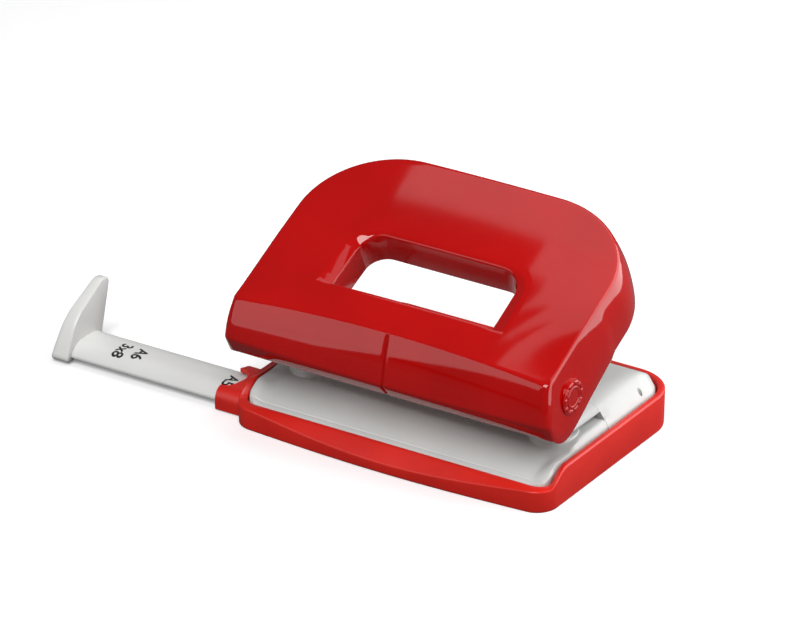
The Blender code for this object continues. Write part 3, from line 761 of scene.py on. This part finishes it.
    def build_block(self, side: Side) -> bpy.types.Object:
        """Build the solid pivot block that fills a cheek's tongue.

        Args:
            side: which cheek.

        Returns:
            The block, a rounded outline carried along X with its ends drawn in.
        """
        outline = [(-37.2, 30.0), (-35.6, 26.6), (-33.6, 24.2), (-31.0, 22.9), (-28.0, 22.6), (-24.8, 23.4),
                   (-22.6, 27.0), (-24.0, 36.0), (-34.6, 37.0)]
        loop = rounded(outline, 1.2, 72)[::-1]
        away = -outward(loop)
        ends = [(43.3, 0.9), (43.4, 0.4), (43.9, 0.05), (44.5, 0.0), (48.0, 0.0), (51.4, 0.0)]
        rows = [stand(x * side.value, loop + away * inset) for x, inset in ends]
        return make_piece(f"pivot_block_{side.name.lower()}", np.stack(rows), False, True, capped=True)

    def build_boss(self, side: Side) -> bpy.types.Object:
        """Build the low round boss on a cheek, by the pivot.

        Its height is a plateau between two radii, and the outer plateau is broken into ten dashes.

        Args:
            side: which cheek.

        Returns:
            The boss.
        """
        angle = np.linspace(0, 2 * math.pi, 160, endpoint=False)[:, None]
        radius = np.concatenate([[0.0], np.linspace(0.4, 2.5, 6), np.linspace(2.6, 3.2, 6),
                                 np.linspace(3.3, 3.7, 4), np.linspace(3.8, 4.8, 9), [5.0, 5.2]])[None]
        dash = ease(3.2 * (0.62 + np.cos(10 * angle)))
        band = ease((radius - 3.62) / 0.3) * ease((4.82 - radius) / 0.3)
        ring = ease((radius - 2.55) / 0.22) * ease((3.25 - radius) / 0.22)
        height = 0.26 * np.maximum(band * dash, ring * 0.7) + 0.08 * ease((5.1 - radius) / 0.4)
        x = side.value * (53.75 + height)
        y = self.boss[0] + radius * np.cos(angle)
        z = self.boss[1] + radius * np.sin(angle)
        front = np.stack(np.broadcast_arrays(x, y, z), axis=-1)
        back = front[:, -1:].copy()
        back[..., 0] = side.value * 52.0
        middle = np.broadcast_to(np.array([side.value * 52.0, *self.boss]), back.shape)
        points = np.concatenate([front, back, middle], axis=1)
        return make_piece(f"cheek_boss_{side.name.lower()}", points, wrap_u=True, wrap_v=False, sharp=60.0)

    def build(self) -> None:
        """Build and dress the lever's pieces."""
        red = LEVER_RED.build()
        shell = self.build_shell()
        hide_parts("lever_shell")
        pieces = [shell]
        for side in Side:
            pieces += [self.build_block(side), self.build_boss(side)]
        for piece in pieces:
            dress(piece, red)
            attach(piece, "lever")
            LOG.info("%s: %d faces", piece.name, len(piece.data.polygons))


# ---- chip tray ---------------------------------------------------------------------------------
@dataclass
class ChipTray:
    """The red tray with its faceted front wall, rim, and the rail's guide on the left."""

    half_width: float = 52.85
    front: float = -37.4
    bow: float = 2.1
    back: float = 38.2
    front_radius: float = 7.0
    back_radius: float = 14.0
    rim: float = 11.2
    front_rim: float = 6.95
    floor: float = 1.9
    slot: str = "red_tray"

    def outline(self, inset: float, straight: Optional[float] = None) -> np.ndarray:
        """The tray's plan: bowed front, small front corners and large rear corners.

        The front's Y is front minus bow times cos of the quarter turn that X takes to the corner.

        Args:
            inset: how far inside the outer plan.
            straight: the Y of a straight front in place of the bowed one.

        Returns:
            The closed loop, n by 2.
        """
        side, back = self.half_width - inset, self.back - inset
        front = self.front + inset if straight is None else straight
        bow = self.bow if straight is None else 0.0
        small, large = max(self.front_radius - inset, 1.0), max(self.back_radius - inset, 2.0)
        reach = side - small
        x = run(0.0, reach, 30)
        knee = run(-math.pi / 2, 0.0, 14)
        bend = run(0.0, math.pi / 2, 22)
        parts = [pair(x, front - bow * np.cos(math.pi / 2 * x / reach)),
                 pair(side - small + small * np.cos(knee), front + small + small * np.sin(knee)),
                 pair(side, run(front + small, back - large, 26)),
                 pair(side - large + large * np.cos(bend), back - large + large * np.sin(bend)),
                 pair(np.linspace(side - large, 0.0, 14), back)]
        return mirrored(np.vstack(parts))

    def rim_height(self, y: np.ndarray) -> np.ndarray:
        """Height of the rim, which drops in an S from the sides to the front."""
        return self.front_rim + (self.rim - self.front_rim) * ease((y + 34.2) / 8.4)

    def build_skin(self) -> bpy.types.Object:
        """Build the tray's walls and floor.

        Returns:
            The tray: base, wall, the front's sloping facet, rim, inner wall and floor.
        """
        plan = self.outline(0.0)
        away = outward(plan)
        frontal = ease(-away[:, 1] * 1.15)[:, None]
        foot = self.outline(0.45)
        body = self.outline(0.25)
        height = self.rim_height(plan[:, 1])
        reach = self.half_width - self.front_radius
        sag = 3.3 * np.cos(math.pi / 2 * np.clip(np.abs(plan[:, 0]) / reach, 0.0, 1.0)) * frontal[:, 0]
        crease_z = height - 0.35 - sag
        side_top, front_top = self.outline(0.75), self.outline(0.75, -34.75)
        top = side_top * (1 - frontal) + front_top * frontal
        inner = self.outline(2.3, -33.75)
        low = self.outline(2.7, -33.3)
        middle = np.zeros_like(plan)
        rings = [Ring(lay(middle, 0.0)), Ring(lay(foot, 0.0), 0.6, 4), Ring(lay(body, crease_z), 0.45, 5),
                 Ring(lay(top, height + 0.05), 0.5, 5), Ring(lay(inner, height), 0.35, 4),
                 Ring(lay(low, self.floor), 1.2, 4), Ring(lay(middle, self.floor))]
        tray = make_piece("tray_skin", chain(rings, closed=False), wrap_u=True, wrap_v=False, sharp=38.0)
        gate = self.tunnel(0.32)
        rows = np.stack([stand(x, gate) for x in (-56.0, -46.0)])
        carve(tray, [make_piece("gate", rows, False, True, capped=True)], 38.0)
        return tray

    def tunnel(self, grow: float) -> np.ndarray:
        """Closed section of the rail's tunnel in Y and Z.

        Args:
            grow: clearance round the rail.

        Returns:
            The section, whose halves face each other for capping.
        """
        arch = smooth_path([(-29.7 - grow, 1.9), (-29.7 - grow, 3.1 + grow / 2), (-28.5 - grow, 4.5 + grow),
                            (-26.9, 5.6 + grow), (-24.8, 6.15 + grow), (-18.8, 6.15 + grow),
                            (-16.6, 5.7 + grow), (-15.1 + grow, 4.6 + grow), (-14.6 + grow, 3.4),
                            (-14.6 + grow, 1.9)], 40)
        flat = pair(np.linspace(arch[-1, 0], arch[0, 0], 40), 1.9 - grow * 0.1)
        return np.vstack([arch, flat])

    def build_guide(self) -> bpy.types.Object:
        """Build the guide that the rail slides in, with the thumb bay cut in its end.

        Returns:
            The guide, a sleeve along X whose mouth edges are drawn in.
        """
        inner = self.tunnel(0.3)
        outer = inner.copy()
        grown = self.tunnel(1.75)
        outer[:40] = grown[:40]
        outer[40:] = pair(np.linspace(grown[39, 0], grown[0, 0], 40), 0.35)
        outer[0, 1] = outer[39, 1] = 0.35
        middle = (outer + inner) / 2
        sleeve = [(-61.4, outer + (middle - outer) * 0.3), (-61.1, outer), (-51.0, outer),
                  (-51.0, inner), (-61.1, inner), (-61.4, inner + (middle - inner) * 0.3)]
        rows = [stand(x, section) for x, section in sleeve]
        guide = make_piece("rail_guide", np.stack(rows), wrap_u=True, wrap_v=True, sharp=40.0)
        turn = np.linspace(-math.pi / 2, math.pi / 2, 24)
        bay = pair(-61.3 + 5.2 * np.cos(turn), -23.3 + 5.2 * np.sin(turn))
        stern = pair(-66.0, -23.3 + 5.2 * np.linspace(1, -1, 24))
        loop = np.vstack([bay, stern])
        tall = np.stack([lay(loop, z) for z in (4.4, 20.0)])
        carve(guide, [make_piece("bay", tall, False, True, capped=True)], 40.0)
        return guide

    def build(self) -> None:
        """Build and dress the tray."""
        red = TRAY_RED.build()
        tray = self.build_skin()
        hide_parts("chip_tray")
        for piece in (tray, self.build_guide()):
            dress(piece, red)
            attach(piece, "tray")
            LOG.info("%s: %d faces", piece.name, len(piece.data.polygons))


# ---- base cover --------------------------------------------------------------------------------
@dataclass
class BaseCover:
    """The grey cover: sloping paper deck with die bosses, throat, upper plate and rear hump."""

    half_width: float = 49.95
    plate_half: float = 47.0
    front: float = -33.35
    back: float = 35.25
    throat_end: float = 1.2
    throat_floor: float = 13.0
    throat_roof: float = 15.05
    plate_front: float = -19.0
    pin: tuple[float, float] = (40.0, -12.0)
    slot: str = "grey_cover"
    hump: list = field(default_factory=lambda: [
        (-19.0, 17.6), (-14.0, 18.3), (-4.0, 18.6), (6.0, 18.4), (16.0, 17.7), (23.0, 16.9), (26.3, 16.3),
        (28.0, 15.6), (31.5, 13.6), (34.2, 12.0), (35.3, 10.6)])
    arch: list = field(default_factory=lambda: [
        (0.0, 19.4), (24.0, 19.2), (34.0, 18.7), (40.0, 18.0), (43.5, 17.2), (45.7, 16.2), (47.3, 14.8),
        (48.6, 13.1), (49.5, 11.6), (50.2, 9.8)])

    def crown(self, x: np.ndarray) -> np.ndarray:
        """Height of the arch across the cover."""
        path = smooth_path(self.arch, 200)
        return np.interp(np.abs(x), path[:, 0], path[:, 1])

    def deck_height(self, y: np.ndarray) -> np.ndarray:
        """Height of the deck: a rising sine that levels out at the throat."""
        t = np.clip((y + 33.5) / 25.0, 0.0, 1.0)
        return 6.6 + (self.throat_floor - 6.6) * np.sin(math.pi / 2 * t) ** 1.12

    def soft_min(self, a: np.ndarray, b: np.ndarray, sharpness: float = 2.2) -> np.ndarray:
        """The lower of two heights, blended where they meet: -log(exp(-ka) + exp(-kb)) / k."""
        return -np.logaddexp(-sharpness * a, -sharpness * b) / sharpness

    def width(self, y: np.ndarray, small: float, large: float) -> np.ndarray:
        """Half width of the plan, drawn in by circular corners at the front and the back.

        Args:
            y: the rows.
            small: front corner radius, or zero for none.
            large: rear corner radius, or zero for none.

        Returns:
            Half widths.
        """
        front_in = np.maximum(self.front + small - y, 0.0)
        back_in = np.maximum(y - (self.back - large), 0.0)
        cut_front = small - np.sqrt(np.maximum(small ** 2 - front_in ** 2, 0.0))
        cut_back = large - np.sqrt(np.maximum(large ** 2 - back_in ** 2, 0.0))
        return self.half_width - cut_front - cut_back

    def columns(self) -> np.ndarray:
        """Shares of the half width, crowded towards both ends."""
        t = np.linspace(-1.0, 1.0, 121)
        return np.sin(t * math.pi / 2) * 0.35 + t * 0.65

    def roll(self, inside: np.ndarray, radius: float) -> np.ndarray:
        """Drop of an edge rounded by a circle: r - sqrt(r^2 - (r - e)^2) at e from the edge."""
        return radius - np.sqrt(np.maximum(radius ** 2 - np.maximum(radius - inside, 0.0) ** 2, 0.0))

    def build_deck(self) -> bpy.types.Object:
        """Build the paper deck.

        Returns:
            The deck with its front lip, rounded edges and the holes under the dies.
        """
        y = np.concatenate([self.front + run(0.0, 3.0, 34), run(self.front + 3, -8.0, 40),
                            np.linspace(-8.0, 1.1, 10), [1.3, 1.5, 3.0]])
        half = self.width(y, 4.2, 0.0)
        x = half[:, None] * self.columns()[None]
        rows = np.broadcast_to(y[:, None], x.shape)
        deck = self.deck_height(rows)
        rim = 7.2 + 4.2 * ease((rows + 34.2) / 8.4)
        deck = deck + np.maximum(rim - deck, 0.0) * ease((np.abs(x) - 44.0) / 5.0)
        height = self.soft_min(deck, self.crown(x), 3.0)
        lip = rows - self.front
        height = height - 0.22 * np.exp(-((lip - 1.75) / 0.2) ** 2)
        height = height - self.roll(lip, 0.7) - self.roll(half[:, None] - np.abs(x), 0.6)
        height = height - 0.6 * ease((rows - 1.1) / 0.4)
        top = np.stack([x, rows, height], axis=-1)
        bottom = top.copy()
        bottom[..., 2] = np.minimum(height - 1.9, 11.0)
        piece = sheets("paper_deck", top, bottom)
        cutters = [hole_cutter(f"die_hole_{s.name}", s.value * self.pin[0], self.pin[1], 5.0, 20.0, 5.3)
                   for s in Side]
        carve(piece, cutters)
        return piece

    def build_plate(self) -> bpy.types.Object:
        """Build the upper plate and the rear hump.

        Returns:
            The plate, whose back wall closes the throat, with seats for brackets and bushes, and a peg
            hole.
        """
        path = smooth_path(self.hump, 240)
        front = np.concatenate([self.plate_front + run(0.0, 1.6, 14),
                                run(self.plate_front + 1.6, self.throat_end, 30), [self.throat_end]])
        rear = np.concatenate([run(1.26, 30.0, 34), run(30.0, 34.0, 16), np.linspace(34.0, self.back, 16)])
        y = np.concatenate([front, rear])
        half = np.concatenate([np.full(len(front), self.plate_half), self.width(rear, 0.0, 11.4)])
        x = half[:, None] * self.columns()[None]
        rows = np.broadcast_to(y[:, None], x.shape)
        ridge = np.interp(rows, path[:, 0], path[:, 1])
        inside = np.minimum(self.half_width - np.abs(x), self.back - rows)
        corner = half[:, None] - np.abs(x)
        shoulder = np.where(rows > 23.85, np.minimum(corner, inside) * 1.5 + 10.3, 40.0)
        height = self.soft_min(self.soft_min(ridge, self.crown(x)), shoulder)
        beside = ease((np.abs(x) - 46.9) / 0.6) * (rows > self.throat_end) * (1 - ease((rows - 1.26) / 4.0))
        height = height + (self.soft_min(self.deck_height(rows), self.crown(x), 3.0) - height) * beside
        open_edge = np.minimum(rows - self.plate_front, np.where(rows <= self.throat_end, corner, 9.0))
        height = height - self.roll(open_edge, 1.0)
        step = np.concatenate([np.full(len(front), self.throat_roof), np.full(len(rear), 4.0)])
        floor = np.broadcast_to(step[:, None], x.shape)
        top = np.stack([x, rows, np.maximum(height, floor + 0.2)], axis=-1)
        bottom = np.stack([x, rows, floor], axis=-1)
        plate = sheets("upper_plate", top, bottom)
        cutters = [hole_cutter("peg_hole", 48.4, 20.8, 9.0, 30.0, 0.75)]
        for side in Side:
            tag, sign = side.name.lower(), side.value
            reach = sorted((sign * 30.6, sign * 42.4))
            tail = sorted((sign * 30.6, sign * 40.4))
            cutters += [box_cutter(f"seat_{tag}", (reach[0], -30.0, 16.7), (reach[1], -1.9, 30.0)),
                        box_cutter(f"seat_tail_{tag}", (tail[0], -2.0, 16.7), (tail[1], 9.8, 30.0)),
                        hole_cutter(f"bush_{tag}", sign * self.pin[0], self.pin[1], 14.0, 24.0, 4.3)]
        carve(plate, cutters)
        return plate

    def build_wall(self) -> bpy.types.Object:
        """Build the cover's inner wall, which stands in the tray and clears the rail.

        Returns:
            The wall, a ring whose lower edge rises over the rail.
        """
        y = np.linspace(-29.0, 22.0, 60)
        side = pair(49.6, y)
        turn = np.linspace(0.05, math.pi / 2, 16)
        rear = pair(38.6 + 11.0 * np.cos(turn), 23.7 + 11.0 * np.sin(turn))
        knee = np.linspace(-math.pi / 2, -0.05, 10)
        fore = pair(45.5 + 4.1 * np.cos(knee), -28.9 + 4.1 * np.sin(knee))
        loop = mirrored(np.vstack([[[0.0, -33.0]], fore, side, rear, [[0.0, 34.7]]]))
        away = outward(loop)
        gate = (loop[:, 0] < 0) & (loop[:, 1] > -31.0) & (loop[:, 1] < -13.2)
        low = np.where(gate, 7.0, 3.2)
        under_deck = self.deck_height(loop[:, 1]) - 1.2
        high = np.minimum(np.where(loop[:, 1] < self.throat_end, under_deck, 9.0), 9.4)
        high = np.maximum(high, low + 0.2)
        inner = loop - away * 1.8
        rings = [Ring(lay(*pair)) for pair in ((loop, low), (loop, high), (inner, high), (inner, low))]
        return make_piece("cover_wall", chain(rings, closed=True), True, True)

    def build_die_boss(self, side: Side) -> bpy.types.Object:
        """Build a die's round boss on the deck.

        Args:
            side: which die.

        Returns:
            The boss, a turned ring with a hollow foot fillet.
        """
        foot = [(r, 10.6 + 1.8 * ((8.6 - r) / 1.4) ** 2) for r in np.linspace(8.6, 7.2, 8)]
        rim = [(7.12, 12.95), (6.95, 13.2), (6.7, 13.3), (5.5, 13.3), (5.3, 13.1), (5.3, 9.5), (8.2, 9.0)]
        return turned(f"die_boss_{side.name.lower()}", np.array(foot + rim),
                      (side.value * self.pin[0], self.pin[1], 0.0))

    def build(self) -> None:
        """Build and dress the cover."""
        grey = COVER_GREY.build()
        deck = self.build_deck()
        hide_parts("base_cover")
        pieces = [deck, self.build_plate(), self.build_wall()] + [self.build_die_boss(s) for s in Side]
        for piece in pieces:
            dress(piece, grey)
            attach(piece, "punch_body")
            LOG.info("%s: %d faces", piece.name, len(piece.data.polygons))


# ---- paper stop rail ---------------------------------------------------------------------------
@dataclass
class StopRail:
    """The arched rail, its upright paper stop and the paper-format marks."""

    left: float = -112.5
    right: float = 3.0
    foot: float = 6.2
    tip: float = 3.4
    slot: str = "grey_rail"
    marks: list = field(default_factory=lambda: [
        ("3x8", -98.7, -23.9), ("A6", -92.8, -23.6), ("A5", -61.2, -23.8)])
    mark_size: float = 5.0
    arch: list = field(default_factory=lambda: [
        (-29.7, 2.2), (-29.7, 3.0), (-28.6, 4.4), (-26.9, 5.5), (-25.0, 5.98), (-23.4, 6.1), (-20.4, 6.1),
        (-18.8, 5.98), (-16.7, 5.5), (-15.2, 4.6), (-14.6, 3.4), (-14.6, 2.2)])

    def build_rail(self) -> bpy.types.Object:
        """Build the arched rail.

        Returns:
            The rail, a thin arch carried along X.
        """
        outer = smooth_path(self.arch, 60)
        inner = smooth_path([(-16.0, 2.2), (-16.2, 3.6), (-17.1, 4.4), (-19.2, 4.7), (-25.0, 4.7),
                             (-26.6, 4.2), (-27.7, 3.2), (-28.2, 2.2)], 60)
        loop = np.vstack([outer, inner])
        rows = [stand(x, loop)
                for x in np.concatenate([[self.left - 1.0], np.linspace(self.left, self.right, 30)])]
        return make_piece("rail_arch", np.stack(rows), False, True, capped=True)

    def build_stop(self) -> bpy.types.Object:
        """Build the upright stop, thick at its foot and thin at its tip.

        The outer face lies foot - (foot - tip) (z - 1.5) / 19 to the left of the inner one.

        Returns:
            The stop.
        """
        outline = [(-31.0, 0.8), (-14.1, 0.8), (-13.8, 4.2), (-10.4, 16.2), (-9.6, 20.2), (-13.2, 20.9),
                   (-19.4, 17.3), (-24.6, 14.4), (-27.6, 11.2), (-29.8, 6.6), (-31.6, 2.0)]
        loop = rounded(outline, 1.6, 120)
        away = outward(loop)
        inset = [(0.0, 0.65), (0.18, 0.22), (0.6, 0.0), (1.6, 0.0)]
        rows = [stand(self.left - shift, loop - away * draw) for shift, draw in inset]
        for shift, draw in reversed(inset):
            ring = loop - away * draw
            lean = (self.foot - self.tip) / 19.0 * np.maximum(ring[:, 1] - 1.5, 0.0)
            rows.append(stand(self.left - self.foot + shift + lean, ring))
        return make_piece("paper_stop", np.stack(rows), False, True, capped=True)

    def build_mark(self, text: str, x: float, y: float) -> bpy.types.Object:
        """Print a paper-format mark that follows the rail's arch.

        Args:
            text: the mark.
            x: its middle along X.
            y: its middle along Y.

        Returns:
            The mark as a thin raised mesh.
        """
        curve = bpy.data.curves.new("mark", "FONT")
        curve.body = text
        curve.size = self.mark_size * MM
        curve.align_x = "CENTER"
        curve.align_y = "CENTER"
        curve.offset = 0.11 * MM
        holder = put("mark", curve)
        graph = bpy.context.evaluated_depsgraph_get()
        mesh = bpy.data.meshes.new_from_object(holder.evaluated_get(graph))
        bpy.data.objects.remove(holder, do_unlink=True)
        mesh.transform(Matrix.Translation(Vector((x, y, 0.0)) * MM) @ Matrix.Rotation(-math.pi / 2, 4, "Z"))
        work = bmesh.new()
        work.from_mesh(mesh)
        bmesh.ops.remove_doubles(work, verts=work.verts, dist=WELD)
        bmesh.ops.triangulate(work, faces=work.faces)
        bmesh.ops.subdivide_edges(work, edges=work.edges, cuts=2, use_grid_fill=True)
        sole = bmesh.ops.extrude_face_region(work, geom=work.faces[:])
        raised = [v for v in sole["geom"] if isinstance(v, bmesh.types.BMVert)]
        bmesh.ops.translate(work, verts=raised, vec=(0.0, 0.0, 0.08 * MM))
        bmesh.ops.recalc_face_normals(work, faces=work.faces)
        work.to_mesh(mesh)
        work.free()
        place = np.empty(len(mesh.vertices) * 3)
        mesh.vertices.foreach_get("co", place)
        place = place.reshape(-1, 3)
        path = smooth_path(self.arch, 400)[40:-40]
        place[:, 2] += (np.interp(place[:, 1] / MM, path[:, 0], path[:, 1]) - 0.04) * MM
        mesh.vertices.foreach_set("co", place.ravel())
        name = "mark_" + text
        mesh.name = name
        return put(name, mesh)

    def build(self) -> None:
        """Build and dress the rail."""
        grey, ink = RAIL_GREY.build(), MARK_BLACK.build()
        rail = self.build_rail()
        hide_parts("stop_rail")
        dressed = [(rail, grey), (self.build_stop(), grey)]
        dressed += [(self.build_mark(text, x, y), ink) for text, x, y in self.marks]
        for piece, finish in dressed:
            dress(piece, finish)
            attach(piece, "rail")
            LOG.info("%s: %d faces", piece.name, len(piece.data.polygons))


# ---- punching unit -----------------------------------------------------------------------------
@dataclass
class PunchUnit:
    """The steel pieces that keep their own solids and take real finishes."""

    families: dict = field(default_factory=lambda: {
        ("die_", "guide_bush_", "punch_pin_", "lever_axle"): GROUND_STEEL,
        ("axle_bracket_",): ZINC_STEEL,
        ("return_spring_",): SPRING_STEEL,
        ("bracket_screw_", "axle_clip_", "pin_clip_"): BLACK_STEEL,
        ("press_frame",): FRAME_RED})

    def build(self) -> None:
        """Give every carried-over solid its finish."""
        for prefixes, finish in self.families.items():
            made = finish.build()
            for name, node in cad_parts.items():
                if name.startswith(prefixes):
                    dress(node, made)
                    LOG.info("%s: %s", name, finish.name)


# ---- studio ------------------------------------------------------------------------------------
@dataclass(frozen=True)
class SoftBox:
    """A rectangular light: its middle and size in metres, its turn in degrees and its radiance."""

    name: str
    place: tuple[float, float, float]
    turn: tuple[float, float, float]
    size: tuple[float, float]
    brightness: float


@dataclass
class Studio:
    """A white floor, soft boxes and the camera.

    The rear box and the narrow step boxes before it hang level overhead, and the lever's top mirrors
    their stepped edge. The floor looks white but is darker to bounced rays, so the skins stay deep.
    """

    azimuth: float = math.radians(32.605)
    elevation: float = math.radians(26.076)
    distance: float = 1.84935
    lens: float = 292.5
    aim: tuple[float, float] = (-0.01575, 0.02966)
    sky_glow: float = 0.10
    floor_glow: float = 0.18
    boxes: list = field(default_factory=lambda: [
        SoftBox("rear_box", (0.324, 0.5073, 0.65), (0.0, 0.0, -8.6), (1.30, 0.98), 1.05),
        *[SoftBox(f"step_box_{i}", (x, y, 0.65), (0.0, 0.0, -8.6), (0.36, 0.014), brightness)
          for i, x, y, brightness in ((1, -0.0811, 0.0657, 1.00), (2, -0.0672, 0.0494, 0.96),
                                      (3, -0.0533, 0.0331, 0.92), (4, -0.0384, 0.0167, 0.88))],
        SoftBox("key_box", (0.17, -0.70, 0.86), (39.0, 9.0, 0.0), (0.62, 0.62), 8.2),
        SoftBox("side_box", (0.19, 0.12, 0.135), (90.0, 0.0, 122.0), (0.42, 0.30), 2.5),
        SoftBox("front_box", (-0.253, -0.34, 0.121), (90.0, -43.0, 0.0), (0.36, 0.25), 1.25)])

    def axes(self) -> tuple[Vector, Vector, Vector]:
        """The camera's right, up and backward directions."""
        a, e = self.azimuth, self.elevation
        right = Vector((math.cos(a), math.sin(a), 0.0))
        back = Vector((math.sin(a) * math.cos(e), -math.cos(a) * math.cos(e), math.sin(e)))
        return right, back.cross(right), back

    def build_camera(self) -> None:
        """Place the camera, square to its line of sight."""
        right, up, back = self.axes()
        data = bpy.data.cameras.new("camera")
        data.sensor_width = 36.0
        data.lens = self.lens
        data.clip_end = 50.0
        camera = put("camera", data)
        place = Matrix((right, up, back)).transposed().to_4x4()
        place.translation = back * self.distance + right * self.aim[0] + up * self.aim[1]
        camera.matrix_world = place
        bpy.context.scene.camera = camera

    def build_light(self, box: SoftBox) -> None:
        """Hang a rectangular soft box.

        Args:
            box: its place, turn, size and brightness.
        """
        data = bpy.data.lights.new(box.name, "AREA")
        data.shape = "RECTANGLE"
        data.size, data.size_y = box.size
        data.energy = box.brightness * math.pi * box.size[0] * box.size[1]
        light = put(box.name, data)
        light.location = box.place
        light.rotation_euler = [math.radians(turn) for turn in box.turn]
        light.visible_camera = False

    def build_floor(self) -> None:
        """Lay a wide matt white floor."""
        ground = bpy.data.materials.new("studio_paper")
        ground.use_nodes = True
        tree = ground.node_tree
        tree.nodes.clear()
        seen = add_node(tree, "BsdfDiffuse", {"Color": linear("#F9F9FA")})
        bounced = add_node(tree, "BsdfDiffuse", {"Color": linear("#606060")})
        path = add_node(tree, "LightPath")
        glow = add_node(tree, "Emission", {"Color": linear("#FFFFFF"), "Strength": self.floor_glow})
        pale = add_node(tree, "AddShader", links={0: seen.outputs[0], 1: glow.outputs[0]})
        mix = add_node(tree, "MixShader", links={0: path.outputs["Is Camera Ray"], 1: bounced.outputs[0],
                                                 2: pale.outputs[0]})
        add_node(tree, "OutputMaterial", links={"Surface": mix.outputs[0]})
        xs, ys = np.meshgrid(np.linspace(-6000, 6000, 5), np.linspace(-6000, 6000, 5), indexing="ij")
        top = np.stack([xs, ys, np.full_like(xs, -0.02)], axis=-1)
        bottom = np.stack([xs, ys, np.full_like(xs, -30.0)], axis=-1)
        floor = sheets("floor", top, bottom)
        dress(floor, ground)

    def build(self) -> None:
        """Set up the world, the lights, the floor and the camera."""
        scene = bpy.context.scene
        scene.view_settings.view_transform = "Standard"
        world = bpy.data.worlds.new("studio")
        scene.world = world
        world.use_nodes = True
        backdrop = world.node_tree.nodes["Background"]
        backdrop.inputs["Color"].default_value = (1.0, 1.0, 1.0, 1.0)
        backdrop.inputs["Strength"].default_value = self.sky_glow
        self.build_floor()
        for box in self.boxes:
            self.build_light(box)
        self.build_camera()


def main() -> None:
    """Build the punch in order."""
    logging.basicConfig(level=logging.INFO, format="%(message)s")
    Studio().build()
    PunchUnit().build()
    ChipTray().build()
    BaseCover().build()
    StopRail().build()
    Lever().build()


if __name__ == "__main__":
    main()
